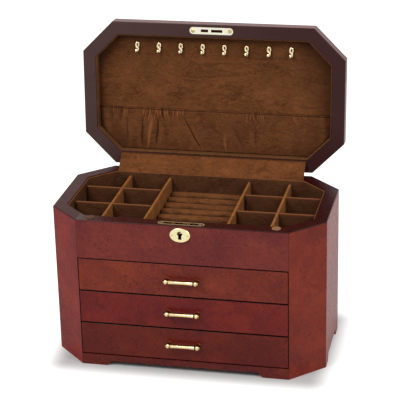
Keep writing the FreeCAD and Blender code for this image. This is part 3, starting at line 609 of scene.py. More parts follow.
# %% Veneer on corners, sides, back and lid
dress(veneer("veneer_right_corner", (130, 46, 31), (2, 4, 0)), "front_right_corner_panel")
dress(veneer("veneer_left_corner", (135, 43, 35), (4, 1, 3), gloss=0.10),
      "front_left_corner_panel", "left_side_panel", "back_left_corner_panel", "back_panel")
dress(veneer("veneer_side", (136, 40, 28), (7, 7, 1), gloss=0.24), "right_side_panel")
dress(veneer("veneer_back_corner", (136, 40, 28), (7, 7, 1), gloss=0.12),
      "back_right_corner_panel")
# The lid's rim tone is greyer, as painted reflection.
dress(veneer("veneer_lid", (106, 38, 32), (1, 9, 6), lid=True, rim_tone=(66, 43, 42), gloss=0.25),
      "lid_front_rail", "lid_back_rail", "lid_left_rail", "lid_right_rail", "lid_corner_rails")
dress(veneer("veneer_lid_top", (106, 38, 32), (1, 9, 6), lid=True, gloss=0.12), "lid_top_panel")

# %% [markdown]
# ## Plain wood
#
# Boxes, guides and floors are softwood with a thin seal, since nobody sees them much. The drawer
# parts and the wide boards differ in tone, and in which way the grain runs.

# %% Plain wood
def plain_wood(name, light, dark, stretch):
    """Sealed softwood with straight grain."""
    made, tree, shader = new_material(name)
    grain = use_group(tree, straight, Light=tone(*light), Dark=tone(*dark), Stretch=stretch)
    cover(tree, shader, grain["Colour"], grain, 0.15, 0.0005)
    return made


dress(plain_wood("sealed_wood", (176, 128, 92), (126, 82, 56), (220, 12, 220)),
      "left_drawer_guide", "right_drawer_guide", "drawer_runners", "top_drawer_box",
      "middle_drawer_box", "bottom_drawer_box")
dress(plain_wood("sealed_board", (158, 112, 80), (108, 70, 48), (14, 200, 200)),
      "case_floor", "tray_deck")

# %% [markdown]
# ## Fittings
#
# All the fittings are brass, each in its own tone: the pulls and hooks are painted dark behind,
# as painted reflection, the lock's plate is painted brown with a pale edge, as painted reflection
# and painted highlight, and the keeper is nearly as new. So one helper makes them all, from a
# clean tone, a deeper one and how sharp the mirror still is.

# %% Brass
# A pale painted highlight along the edges of a plate.
PLATE_EDGE_HIGHLIGHT = tone(190, 170, 126)


def metal(name, clean, deep, lowest, dark_reflection_tone=None, below=0.55, edges=None):
    """Polished metal; a second, darker tone, if given, is painted on faces that turn away from the
    front, as painted reflection, and a plate named in edges gets a painted pale highlight along its
    edges.
    """
    made, tree, shader = new_material(name)
    shine = use_group(tree, polish, Clean=tone(*clean), Deep=tone(*deep), Lowest_roughness=lowest)
    colour = shine["Colour"]
    if dark_reflection_tone:
        mask = use_group(tree, painted_reflection_side, Dull_below=below, Clean_above=below + 0.35)["Mask"]
        colour = mixed(tree, mask, tone(*dark_reflection_tone), colour)
    shader.inputs["Metallic"].default_value = 1.0
    if edges:
        low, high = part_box(edges)
        line = use_group(tree, arris, Low=tuple(low), High=tuple(high), Width=0.0026,
                         Skip=(0, 0, 1))["Mask"]
        colour = mixed(tree, line, colour, PLATE_EDGE_HIGHLIGHT)
        tree.links.new(smooth(tree, line, 0.0, 1.0, 1.0, 0.2), shader.inputs["Metallic"])
    cover(tree, shader, colour, shine, 0.04, 0.0002)
    return made


dress(metal("polished_brass", (240, 212, 150), (200, 158, 90), 0.14), "hinge_pins",
      "hinge_case_leaves", "hinge_lid_leaves", "hinge_case_screws", "hinge_lid_screws",
      "lock_bolt")
# The pulls are painted darker on faces turned away from the front, as painted reflection.
dress(metal("pull_brass_painted_reflection", (242, 220, 172), (214, 182, 124), 0.14, dark_reflection_tone=(144, 104, 56),
            below=0.62), "top_drawer_pull", "middle_drawer_pull", "bottom_drawer_pull")
# The lock's plate is painted brown, as painted reflection of the dark lid lining, with a painted
# highlight on its edges.
dress(metal("lock_brass_painted_reflection", (132, 104, 66), (106, 82, 50), 0.10, edges="lock_case"), "lock_case")
dress(metal("plate_brass", (255, 252, 232), (244, 230, 190), 0.2),
      "keeper_plate", "lock_plate_screws")
dress(metal("worn_brass", (214, 196, 144), (176, 148, 96), 0.3),
      "escutcheon_pins", "keeper_screws")
dress(metal("keyhole_brass", (246, 234, 186), (226, 204, 140), 0.22), "escutcheon")
# The hooks are painted darker on faces turned away from the front, as painted reflection.
hook_brass_painted_reflection = metal("hook_brass_painted_reflection", (244, 226, 182), (190, 158, 106), 0.24, dark_reflection_tone=(110, 78, 40),
                   below=0.30)

# %% [markdown]
# Two small tan dots on the front rim keep the lid from knocking. They are soft like the suede, so
# they share its nap. The left one has been stained dark: the tone changes from side to side.

# %% Tan dots
tan_dot, tree, shader = new_material("tan_dot")
grain = use_group(tree, nap, Tone=tone(140, 96, 62))
stained = tinted(tree, grain["Colour"], 0.30, 0.26, 0.26)
on_left = smooth(tree, apart(tree, here(tree))["X"], 0.0, -0.01)
cover(tree, shader, mixed(tree, on_left, grain["Colour"], stained), grain, 0.4, 0.0006)
dress(tan_dot, "lid_bumpers")
print("dressed", len(dressed_pieces), "hard pieces")


# %% [markdown]
# ## Suede
#
# One dyed suede lines the whole chest. The tray's floor, walls and cross dividers are painted
# darker, as painted shade, and the long dividers paler, as painted light on their lit faces; the
# lid keeps the plain tone. Each gets its own tone. Cloth with folds also reads, from a number
# kept at each point, how deep in a fold the point lies, for painted shade and highlight.

# %% Suede in its shades
SUEDE_SHEEN = tone(190, 130, 80)


def suede(name, base, seed, patches=1.0, wear_and_top_light=0.0, folded=False):
    """Brushed suede cloth with a little sheen; folded cloth reads how deep each fold is, for
    painted shade and highlight.
    """
    made, tree, shader = new_material(name)
    depth = node(tree, "Attribute", attribute_name="fold").outputs["Fac"] if folded else 0.0
    cloth = use_group(tree, nap, Tone=tone(*base), Seed=seed, Patches=patches, Rubbed=wear_and_top_light,
                      Fold=depth)
    cover(tree, shader, cloth["Colour"], cloth, 0.5, 0.0010)
    for label, value in (("Specular IOR Level", 0.12), ("Sheen Weight", 0.12),
                         ("Sheen Roughness", 0.45), ("Sheen Tint", SUEDE_SHEEN)):
        shader.inputs[label].default_value = value
    return made


lid_suede = suede("suede_lid", (104, 62, 33), (0, 0, 0), patches=1.2, folded=True)
pocket_suede = suede("suede_pocket", (100, 59, 32), (2, 3, 1), folded=True)
# The tray, wall and cross-divider tones are darker, as painted shade; the long dividers' tone is
# paler, as painted light.
shaded_tray_suede = suede("suede_tray_painted_shade", (77, 46, 27), (4, 0, 2), patches=1.2)
shaded_wall_suede = suede("suede_wall_painted_shade", (80, 48, 28), (4, 3, 2), patches=1.2, wear_and_top_light=1.0)
lit_divider_suede = suede("suede_divider_painted_light", (132, 83, 44), (5, 5, 0), patches=1.2, wear_and_top_light=0.2)
shaded_cross_suede = suede("suede_cross_painted_shade", (80, 47, 27), (5, 2, 0), wear_and_top_light=0.8)
roll_suede = suede("suede_rolls", (112, 68, 37), (3, 8, 0), folded=True)
flap_suede = suede("suede_flap", (111, 65, 34), (6, 1, 1), patches=1.1, folded=True)
edge_suede = suede("suede_edge", (99, 62, 36), (1, 2, 2), patches=0.8)
print("made", sum(made.name.startswith("suede") for made in bpy.data.materials), "suedes")


# %% [markdown]
# ## Meshes for cloth
#
# All the linings are one of three kinds: a padded panel that fills an eight-sided opening, a
# strip that runs round the eight walls, and a board wrapped in cloth. Each kind has a helper
# that makes an even grid, because cloth needs many small faces before it can look soft.

# %% Making a piece from points
def make_piece(name, points, faces, material, body, *nodes):
    """A smooth mesh from points in millimetres, riding on a body in place of measured nodes."""
    mesh = bpy.data.meshes.new(name)
    mesh.from_pydata([(Vector(point) + to_case) * MM for point in points], [], faces)
    work = bmesh.new()
    work.from_mesh(mesh)
    bmesh.ops.remove_doubles(work, verts=work.verts, dist=0.00001)
    bmesh.ops.recalc_face_normals(work, faces=work.faces)
    work.to_mesh(mesh)
    work.free()
    mesh.polygons.foreach_set("use_smooth", [True] * len(mesh.polygons))
    mesh.materials.append(material)
    piece = bpy.data.objects.new(name, mesh)
    bpy.context.scene.collection.objects.link(piece)
    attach(piece, body)
    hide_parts(*nodes)
    print(name, len(mesh.polygons), "faces")
    return piece


def shade_folds(piece, depths):
    """Keep at each point how deep it lies in a fold, for painted shade: -1 is darkest and 1 is
    palest.
    """
    kept = [max(-1.0, min(1.0, depth)) for depth in depths]
    piece.data.attributes.new("fold", "FLOAT", "POINT").data.foreach_set("value", kept)


def thicken(piece, thickness, offset):
    """Give a sheet of cloth its thickness, in metres."""
    made = piece.modifiers.new("Thickness", "SOLIDIFY")
    made.thickness = thickness
    made.offset = offset


# %% Noise and even spacing
def ripple(point, size, seed=0.0):
    """Smooth noise from -1 to 1 whose waves are about so many millimetres long."""
    return noise.noise(Vector(point) / size + Vector((seed, 2.3 * seed, -seed)))


def steps(low, high, size):
    """Evenly spaced values from low to high, about so many millimetres apart."""
    count = max(1, round((high - low) / size))
    return [low + (high - low) * k / count for k in range(count + 1)]


print("10 mm in steps of about 3:", [round(value, 2) for value in steps(0, 10, 3)])


# %% Faces between rows of points
def sheet_faces(rows, columns):
    """Faces of an open sheet; columns counts the faces in a row, rows the rows of points."""
    wide = columns + 1
    corners = [j * wide + k for j in range(rows - 1) for k in range(columns)]
    return [(a, a + 1, a + wide + 1, a + wide) for a in corners]


def slab_faces(rows, columns):
    """Faces of a closed slab whose upper points all come before its lower ones."""
    wide = columns + 1
    under = rows * wide
    faces = []
    for quad in sheet_faces(rows, columns):
        faces += [quad, tuple(under + i for i in reversed(quad))]
    sides = [(a, a + 1) for k in range(columns) for a in (k, under - wide + k)]
    sides += [(a, a + wide) for j in range(rows - 1) for a in (j * wide, j * wide + columns)]
    return faces + [(a, b, under + b, under + a) for a, b in sides]


def tube_faces(rounds, count, closed=False):
    """Faces that join rounds of count points each; a tube that doesn't close gets two ends."""
    faces = []
    for j in range(rounds if closed else rounds - 1):
        after = (j + 1) % rounds
        for k in range(count):
            n = (k + 1) % count
            faces.append((j * count + k, j * count + n, after * count + n, after * count + k))
    if not closed:
        faces.append(tuple(range(count)))
        faces.append(tuple(reversed(range((rounds - 1) * count, rounds * count))))
    return faces


def joined(*shapes):
    """Several sets of points and faces as one."""
    points = []
    faces = []
    for some_points, some_faces in shapes:
        start = len(points)
        points += some_points
        faces += [tuple(start + i for i in face) for face in some_faces]
    return points, faces


print("3 by 3 points:", len(sheet_faces(3, 2)), "faces in a sheet,", len(slab_faces(3, 2)),
      "round a slab")


# %% The eight-sided outline, drawn in by a distance
def octagon(inset):
    """Corners of the case outline drawn in, from the front left, anticlockwise."""
    x = half_width - inset
    y = half_depth - inset
    cut = corner_cut - inset * (2 - math.sqrt(2))
    return [(-x + cut, -y), (x - cut, -y), (x, -y + cut), (x, y - cut),
            (x - cut, y), (-x + cut, y), (-x, y - cut), (-x, -y + cut)]


def reach(inset, y):
    """Half the width of the drawn-in outline at one depth."""
    widest = octagon(inset)[3]
    return widest[0] - max(0.0, abs(y) - widest[1])


print("corners of the case:", [(round(x), round(y)) for x, y in octagon(0)])


# %% Helper: padded panel that fills an eight-sided opening
def panel(inset, low, high, lift, size=5.0, place=Vector):
    """Points and faces of a panel from low to high; lift(x, y) raises its face."""
    shoulder = octagon(inset)[3][1]
    depth = half_depth - inset
    rows = steps(-depth, -shoulder, size)[:-1] + steps(-shoulder, shoulder, size)
    rows += steps(shoulder, depth, size)[1:]
    across = round(2 * (half_width - inset) / size)
    flat = []
    for y in rows:
        wide = reach(inset, y)
        flat += [(wide * (2 * k / across - 1), y) for k in range(across + 1)]
    points = [place((x, y, high + lift(x, y))) for x, y in flat]
    points += [place((x, y, low)) for x, y in flat]
    return points, slab_faces(len(rows), across)


print("opening inside the walls:", round(2 * reach(wall, 0), 1), "mm wide")


# %% Helper: strip that runs round the eight walls
def ring(profile, place=Vector, size=5.0):
    """Points and faces of a strip; profile is a closed outline of (inset, height)."""
    corners = octagon(profile[0][0])
    points = []
    rounds = 0
    for number in range(8):
        count = max(2, round(math.dist(corners[number], corners[(number + 1) % 8]) / size))
        rounds += count
        for k in range(count):
            for inset, z in profile:
                start = Vector(octagon(inset)[number])
                spot = start.lerp(Vector(octagon(inset)[(number + 1) % 8]), k / count)
                points.append(place((spot.x, spot.y, z)))
    return points, tube_faces(rounds, len(profile), closed=True)


inside = octagon(wall)
round_walls = sum(math.dist(a, b) for a, b in zip(inside, inside[1:] + inside[:1]))
print("once round the walls:", round(round_walls), "mm")


# %% Helper: board wrapped in cloth
side_dents = 0.16
top_dents = 0.25


def board(start, end, half, low, high, seed, size=5.0):
    """Points and faces of a thin upright board between two (x, y) places, round along its top."""
    start = Vector(start)
    end = Vector(end)
    along = (end - start).normalized()
    side = Vector((-along.y, along.x))
    shoulder = high - half
    outline = [(-half, z) for z in steps(low, shoulder, size)]
    outline += [(half * math.cos(t), shoulder + half * math.sin(t))
                for t in [math.pi * (1 - k / 8) for k in range(1, 8)]]
    outline += [(half, z) for z in reversed(steps(low, shoulder, size))]
    runs = steps(0, (end - start).length, size)
    points = []
    for run in runs:
        for out, z in outline:
            spot = start + along * run + side * out
            soft = ripple((spot.x, spot.y, z), 18.0, seed)
            spot -= side * math.copysign(side_dents * abs(soft), out)
            if z > shoulder:
                z -= top_dents * abs(ripple((spot.x, spot.y, 0), 26.0, seed + 4))
            points.append((spot.x, spot.y, z))
    return points, tube_faces(len(runs), len(outline))


print("wrapped boards are dented by up to", top_dents, "mm along their top")


# %% [markdown]
# ## Tray
#
# The tray has a suede floor, padded walls and cloth-wrapped dividers. The floor is a little
# uneven, the walls have a soft rounded top, and the dividers are a touch uneven, as thin board is
# under cloth.

# %% Tray floor
deck_top = span("tray_floor_lining")[0][2]
points, faces = panel(wall, deck_top, tray_floor - 0.25,
                      lambda x, y: 0.22 * ripple((x, y, 0), 24.0, 1.0))
floor_cloth = make_piece("tray_floor_cloth", points, faces, shaded_tray_suede, "case", "tray_floor_lining")

# %% Wall lining
wall_top = span("tray_wall_lining")[1][2]
thick = 2.0
upright_rows = steps(tray_floor, wall_top - 1, 6)
outline = [(wall, z) for z in upright_rows]
outline += [(wall + 0.3, wall_top - 0.3), (wall + 1.0, wall_top), (wall + 1.7, wall_top - 0.3)]
outline += [(wall + thick, z) for z in reversed(upright_rows)]
points, faces = ring(outline)
wall_cloth = make_piece("tray_wall_cloth", points, faces, shaded_wall_suede, "case", "tray_wall_lining")

# %% Dividers
sunk = 0.2
play = 0.05


def divider(node_name, runs, cloth):
    """Wrap one or more boards of a measured divider in cloth, sunk a little into the floor's."""
    top = span(node_name)[1][2] - play
    shapes = [board(start, end, half, tray_floor - sunk, top, start[0] * 0.1)
              for start, end, half in runs]
    made = make_piece(node_name + "_cloth", *joined(*shapes), cloth, "case", node_name)


end_y = half_depth - wall - thick
for name in ("left_outer_divider", "left_inner_divider", "right_inner_divider",
             "right_outer_divider"):
    low, high = span(name)
    x = (low[0] + high[0]) / 2
    divider(name, [((x, -end_y), (x, end_y), (high[0] - low[0]) / 2 - play)], lit_divider_suede)
for name in ("left_cross_dividers", "right_cross_dividers"):
    low, high = span(name)
    half = (span("left_inner_divider")[1][0] - span("left_inner_divider")[0][0]) / 2
    front_y = low[1] - case_middle + half
    back_y = high[1] - case_middle - half
    runs = [((low[0], y), (high[0], y), half - 2 * play) for y in (front_y, back_y)]
    divider(name, runs, shaded_cross_suede)

# %% [markdown]
# ## Ring rolls
#
# Rings are held in the slits between padded rolls. Each roll is a tube of suede over foam, held
# down along its two lower edges. Cloth simulation presses the tubes up from inside, which
# softens the drawn section. The lower edges are pinned, and no point may move further than a
# little over a millimetre, so the rolls keep their places.

# %% Roll shapes
pad_low, pad_high = span("ring_roll_pad")
roll_count = 8
roll_pitch = (pad_high[1] - pad_low[1]) / roll_count
roll_top = pad_high[2]
roll_depth = 12.0
slit_z = roll_top - roll_depth
room_to_swell = 1.0
half_slit = 0.5
narrower = 0.97
squareness = 0.8
roll_end = pad_high[0] - 0.3
taper_from = 0.93
taper_over = 0.07


def roll(number):
    """Points, faces and held points of one roll, lying along X."""
    middle = pad_low[1] - case_middle + (number + 0.5) * roll_pitch
    half = roll_pitch / 2 - half_slit
    foot = [(half, (pad_low[2] + slit_z) / 2), (half, pad_low[2])]
    outline = [(-y, z) for y, z in reversed(foot)]
    for k in range(13):
        turn_by = math.pi * k / 12
        rise = (roll_depth - room_to_swell) * math.sin(turn_by) ** squareness
        outline.append((-half * math.cos(turn_by) * narrower, slit_z + rise))
    outline += foot
    points = []
    held = []
    stations = steps(pad_low[0] + 0.3, roll_end, 4.0)
    for x in stations:
        inward = max(0.0, abs(x) / roll_end - taper_from) / taper_over
        for y, z in outline:
            tuck = 1 - 0.10 * inward ** 2 if z > slit_z else 1
            points.append((x, middle + y * tuck, slit_z + (z - slit_z) * tuck))
            held.append(z <= slit_z + 0.5 or inward >= 1)
    return points, tube_faces(len(stations), len(outline)), held


shapes = [roll(number) for number in range(roll_count)]
points, faces = joined(*[(shape[0], shape[1]) for shape in shapes])
rolls = make_piece("ring_rolls", points, faces, roll_suede, "case", "ring_roll_pad")


# %% Blow the rolls up
def puff(piece, held, pressure, cap, top):
    """Run Cloth with air pressure, keep each point within cap of its start and below top."""
    group = piece.vertex_groups.new(name="held")
    group.add([i for i, fixed in enumerate(held) if fixed], 1.0, "REPLACE")
    cloth = piece.modifiers.new("Puff", "CLOTH")
    cloth.settings.quality = 6
    cloth.settings.mass = 0.02
    cloth.settings.tension_stiffness = 5
    cloth.settings.compression_stiffness = 5
    cloth.settings.bending_stiffness = 0.1
    cloth.settings.use_pressure = True
    cloth.settings.uniform_pressure_force = pressure
    cloth.settings.effector_weights.gravity = 0
    cloth.settings.vertex_group_mass = "held"
    start = [vertex.co.copy() for vertex in piece.data.vertices]
    for number in range(1, 21):
        bpy.context.scene.frame_set(number)
    seen = piece.evaluated_get(bpy.context.evaluated_depsgraph_get())
    furthest = 0.0
    for vertex, before, after in zip(piece.data.vertices, start, seen.data.vertices):
        step = after.co - before
        if step.length > cap * MM:
            step = step.normalized() * cap * MM
        furthest = max(furthest, step.length)
        vertex.co = before + step
        vertex.co.z = min(vertex.co.z, top * MM)
    piece.modifiers.remove(cloth)
    piece.vertex_groups.clear()
    bpy.context.scene.frame_set(1)
    print(piece.name, "moved by up to", round(furthest / MM, 2), "mm")


puff(rolls, [fixed for shape in shapes for fixed in shape[2]], pressure=150.0, cap=1.3,
     top=roll_top)

# %% Shade the slits between the rolls
# The slits are painted dark, as painted shade; the ripples are random patches of paler and darker
# nap.
shades = []
for vertex in rolls.data.vertices:
    x, y, z = vertex.co / MM
    low_down = (roll_top - z) / roll_depth
    paler = 0.45 * ripple((x, 2 * y, z), 13.0, 4.0) + 0.25 * ripple((x, 2 * y, z), 5.0, 9.0)
    shades.append(paler - max(0.0, 2.6 * (low_down - 0.14)))
shade_folds(rolls, shades)
smoother = rolls.modifiers.new("Finer", "SUBSURF")
smoother.levels = 1
smoother.render_levels = 1
print("slits are", roll_depth, "mm deep")

# %% [markdown]
# ## Lid lining
#
# The lid is lined with one suede panel over thin card, a little proud between its glued edges,
# inside a padded border. Both are drawn as if the lid were shut and then swung open with it.

# %% Lid panel
lining_back = lid_z + 15.0
lining_face = lining_back - 2.0
# Each wrinkle: its two ends along X, its place along Y, how far it sags, how tall it is.
wrinkles = [(-72, 26, -30, 5.0, 0.45), (-20, 60, -44, -4.0, 0.25), (70, 140, -6, 6.0, 0.3),
            (-150, -90, -20, -5.0, 0.3), (-120, -30, 2, 4.0, 0.25), (30, 120, -62, 5.0, 0.25)]


def wrinkle(x, y):
    """Height of the long shallow wrinkles in the glued panel."""
    height = 0.0
    for first, last, level, sag, tall in wrinkles:
        along = (x - first) / (last - first)
        if 0 < along < 1:
            off = (y - level - sag * math.sin(math.pi * along)) / 1.6
            height += tall * math.sin(math.pi * along) * math.exp(-off * off)
    return height


def lid_lift(x, y):
    """The lid panel's face stands a little proud and is not quite flat."""
    wave = 0.25 * ripple((x, y, 0), 60.0, 3.0) + 0.12 * ripple((x, y, 0), 17.0, 8.0)
    return 0.25 + wave - wrinkle(x, y)


points, faces = panel(wall, lining_back, lining_face, lid_lift, 2.2, opened)
lid_cloth = make_piece("lid_lining_cloth", points, faces, lid_suede, "lid", "lid_lining_panel")

# %% [markdown]
# The panel is painted darker towards its sides and its front edge, as painted shade near the
# border, and each wrinkle gets a painted highlight on one flank and painted shade on the other.

# %% Shade the lid panel
shut_again = swing.inverted()
shades = []
for vertex in lid_cloth.data.vertices:
    x, y, z = hinge_at + shut_again @ (vertex.co / MM - to_case - hinge_at)
    from_side = (half_width - wall - abs(x)) / (65 if x > 0 else 45)
    from_front = (half_depth - wall + y) / 75
    shade = -0.60 * max(0.0, 1 - from_side) - 0.50 * max(0.0, 1 - from_front)
    shades.append(shade + 1.1 * (wrinkle(x, y - 1.2) - wrinkle(x, y + 1.4)))
shade_folds(lid_cloth, shades)
print("lid panel shaded at", len(shades), "points")

# %% Lid border
border = 2.2
edge_z = lid_z + 0.8
upright_rows = steps(edge_z + 1, lining_face, 4)
outline = [(wall, z) for z in upright_rows]
outline += [(wall + border, z) for z in reversed(upright_rows)]
outline += [(wall + border - 0.5, edge_z + 0.3), (wall + border / 2, edge_z),
            (wall + 0.5, edge_z + 0.3)]
points, faces = ring(outline, opened)
border_cloth = make_piece("lid_border_cloth", points, faces, edge_suede, "lid", "lid_lining_border")

# %% [markdown]
# ## Gathered pocket
#
# The pocket is a strip of suede sewn down along its foot and sides, with elastic in its top hem.
# The elastic shirrs the hem into small ripples, and long slack folds run from there to the foot.
# A simulated cloth would fold where chance puts it. These folds lie in known places, so the
# pocket's depth is worked out at each point from a list of its ridges, creases and gathers.

# %% Where the ridges, creases and gathers of the pocket lie
pocket_foot = 21.5
pocket_tall = 65.5
# Ridges and creases: X at the top, X at the foot, half width, height, how far up they reach.
ridges = [(-97, -105, 3.8, 1.6, 0.84), (-128, -134, 12, 0.8, 0.8), (-62, -48, 14, 1.0, 0.7),
          (14, 19, 4.5, 1.0, 0.5), (44, 72, 16, 0.7, 0.8), (100, 118, 16, 0.8, 0.8)]
creases = [(-86, -94, 3.0, 1.4, 0.80), (-112, -113, 3.4, 1.0, 0.80), (-46, -16, 1.7, 1.6, 0.80),
           (-77, -74, 6.0, 0.6, 0.8), (26, 52, 10.0, 1.2, 0.62), (64, 110, 2.5, 0.5, 0.62),
           (-136, -135, 2.5, 0.5, 0.9), (65, 64, 2.6, 0.7, 0.72)]
# Shirred stretches: first X, last X, distance between gathers, height, lean as they go down.
shirred = [(-158, -134, 3.9, 0.8, -5), (-110, -92, 3.6, 1.3, -6), (-89, -71, 3.4, 1.3, 5),
           (-67, -48, 3.7, 1.3, -4), (12, 30, 4.4, 0.55, 14), (50, 60, 3.3, 0.8, -4),
           (62, 76, 3.3, 0.8, 10), (120, 141, 5.0, 0.5, 22)]
gathers = []
for number, (first, last, pitch, tall, lean) in enumerate(shirred):
    for k in range(round((last - first) / pitch) + 1):
        chance = [noise.noise(Vector((7.3 * k + 0.5, number + 0.4, 3.1 * part)))
                  for part in range(4)]
        gathers.append((first + pitch * (k + 0.5 * chance[0]), tall * (1 + 0.9 * chance[1]),
                        lean * (1 + 0.8 * chance[2]), 0.15 + 0.12 * chance[3]))
print(len(gathers), "small gathers under the hem")


# %% Where a fold runs, and its shape
def line_at(top, foot, rise):
    """Where a fold lies at one height; folds fan out as they go down, and wander a little."""
    wander = 1.3 * ripple((0, 60 * rise, 0), 15.0, 0.31 * top)
    return foot + (top - foot) * min(1.0, rise / 0.8) ** 0.8 + wander


def bulge(off):
    """A smooth hump, 1 in its middle."""
    return math.exp(-off * off) if abs(off) < 3 else 0.0


print("first ridge at mid height:", round(line_at(*ridges[0][:2], 0.5), 1), "mm from the middle")


# %% Depth of the pocket at one place
least_slack = 0.6
most_slack = 1.6
glued_from = 178
glued_over = 12
gathers_from = 0.95
half_gather = 1.05
hem_at, hem_wide = 0.985, 0.014
stitches_at, stitches_wide = 0.958, 0.011
least_off, most_off = 0.3, 4.0


def pocket_depth(x, rise):
    """How far the pocket stands off the lining; rise is 0 at its foot and 1 at its hem."""
    slack = most_slack * math.sin(math.pi * min(1.0, 0.12 + 0.8 * rise)) ** 0.8
    depth = least_slack + slack * min(1.0, (glued_from - abs(x)) / glued_over)
    for top, foot, wide, tall, reach_up in ridges:
        fade = max(0.0, 1 - rise / reach_up) ** 0.5
        depth += tall * fade * bulge((x - line_at(top, foot, rise)) / (wide * (0.35 + rise)))
    for top, foot, wide, deep, reach_up in creases:
        fade = max(0.0, 1 - rise / reach_up) ** 0.35 * min(1.0, 0.3 + 2 * rise)
        off = (x - line_at(top, foot, rise)) / wide
        depth -= deep * fade * (0.6 * math.exp(-2 * abs(off)) + 0.4 * bulge(off))
    for start, tall, lean, length in gathers:
        drop = max(0.0, gathers_from - rise)
        if drop < 2 * length:
            line = start + lean * drop + 5 * lean * drop * drop
            strength = bulge(drop / length) * min(1.0, 12 * drop + 0.3)
            depth += tall * bulge((x - line) / half_gather) * strength
    depth += 0.30 * ripple((x, 70 * rise, 0), 11.0, 7.0) * rise
    hem = 0.7 * bulge((rise - hem_at) / hem_wide)
    pinch = 0.7 * bulge((rise - stitches_at) / stitches_wide)
    depth = depth * min(1.0, 0.25 + 4 * rise) + hem - pinch
    return min(most_off, max(least_off, depth))


print("pocket stands off by", round(pocket_depth(0, 0.5), 2), "mm at its middle")


# %% [markdown]
# A fold looks deep when the cloth beside it stands higher. So each point is compared with its
# neighbours on both sides, and the nap is painted darker in hollows and paler on ridges, as
# painted shade and highlight. It is painted darker too along the two rows of stitches and towards
# the two glued ends, as painted shade.

# %% Make the pocket
pocket_columns = 520
neighbours = (-11, -5, -2, 2, 5, 11)


def painted_end_shade(half, x):
    """Painted shade towards the two glued ends of the pocket."""
    return 0.50 * max(0.0, 1 - (half - abs(x)) / (65 if x < 0 else 60))


rises = steps(0, 0.72, 0.03)[:-1] + steps(0.72, 0.94, 0.015)[:-1] + steps(0.94, 1, 0.006)
points = []
shades = []
for rise in rises:
    y = half_depth - pocket_foot - pocket_tall * rise
    half = reach(wall + border + 0.5, y)
    xs = [half * (2 * k / pocket_columns - 1) for k in range(pocket_columns + 1)]
    depths = [pocket_depth(x, rise) for x in xs]
    # Painted shade along the row of stitches and along the top of the hem.
    seam = 0.5 * bulge((rise - 0.96) / 0.012) + 0.62 * bulge((rise - 1.0) / 0.012)
    for k, (x, depth) in enumerate(zip(xs, depths)):
        wander = 0.5 * ripple((x, 0, 0), 20.0, 2.0) * rise
        points.append(opened((x, y - wander, lining_face - depth)))
        near = [depths[min(pocket_columns, max(0, k + step))] for step in neighbours]
        shades.append(1.8 * (depth - sum(near) / len(near)) - seam - painted_end_shade(half, x))
pocket = make_piece("lid_pocket_cloth", points, sheet_faces(len(rises), pocket_columns),
                    pocket_suede, "lid", "lid_pocket")
shade_folds(pocket, shades)
thicken(pocket, 0.0005, 1.0)

# %% [markdown]
# ## Necklace hooks
#
# Each hook is one length of brass wire: it is bent round into an open oval eye that lies on the
# lining, runs down a little, and curls forward and up so that a chain can't slip off. The wire
# grows thicker towards its tip. The hooks are drawn as bent wire because their open eyes catch
# the light.

# %% Wire helper
def wire(name, paths, radius, swollen, material, body, *nodes):
    """Round wire along smooth paths in millimetres, as one piece; swollen is how it thickens."""
    data = bpy.data.curves.new(name, "CURVE")
    data.dimensions = "3D"
    data.bevel_depth = radius * MM
    data.bevel_resolution = 3
    data.use_fill_caps = True
    for path in paths:
        spline = data.splines.new("NURBS")
        spline.points.add(len(path) - 1)
        for number, (spot, place) in enumerate(zip(spline.points, path)):
            spot.co = (*((Vector(place) + to_case) * MM), 1)
            spot.radius = 1 + swollen * number / len(path)
        spline.order_u = 4
        spline.use_endpoint_u = True
        spline.resolution_u = 4
    data.materials.append(material)
    made = bpy.data.objects.new(name, data)
    bpy.context.scene.collection.objects.link(made)
    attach(made, body)
    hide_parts(*nodes)
    print(name, len(paths), "lengths of wire")


# %% Eight hooks
hook_count = 8
hook_pitch = 33.6
hook_y = 39.0 - half_depth
hook_wire = 1.3
hook_swollen = 0.6
eye_points = 12
half_eye = 2.2, 4.0
# Where the wire goes after the eye: across, up and out from the lining.
stem_and_curl = [(1.7, -3.0, 2.6), (1.2, -5.2, 2.8), (0.4, -7.2, 3.2), (-0.4, -8.3, 4.4),
                 (-0.8, -7.4, 6.0), (-0.9, -5.8, 6.4), (-0.7, -4.8, 5.6)]


def hook_path(number):
    """Eye, stem and curl of one hook on the open lid."""
    x = (number - (hook_count - 1) / 2) * hook_pitch
    lean = 0.5 * ripple((x, 0, 0), 21.0, 5.0)
    path = []
    for k in range(eye_points + 1):
        turn_by = -math.pi / 2 + 2 * math.pi * k / eye_points
        path.append((0.3 + half_eye[0] * math.cos(turn_by), 2.0 + half_eye[1] * math.sin(turn_by),
                     1.7 + 0.06 * k))
    return [opened((x + lean + across, hook_y - rise, lining_face - out))
            for across, rise, out in path + stem_and_curl]


wire("wire_hooks", [hook_path(number) for number in range(hook_count)], hook_wire, hook_swollen,
     hook_brass_painted_reflection, "lid", "necklace_hooks")

# %% [markdown]
# ## Hinge flap
#
# A strip of suede runs from the back of the tray up into the lid. It hides the hinges and stops
# the lid from falling back. While the lid is open it is taut. As the lid shuts it crumples down
# on the back of the tray.

# %% The flap's route, from the tray to the inside of the lid
behind = half_depth - wall - thick + 1.1
lip = opened((0, half_depth - wall - border + 2.8, edge_z - 1.2))
route = [(behind, wall_top - 4), (behind, wall_top + 0.2), (lip.y, lip.z)]
half_flap = span("hinge_flap")[1][0]
line = []
for (ya, za), (yb, zb) in zip(route, route[1:]):
    count = max(2, round(math.dist((ya, za), (yb, zb)) / 2.5))
    line += [(ya + (yb - ya) * k / count, za + (zb - za) * k / count) for k in range(count)]
line.append(route[-1])

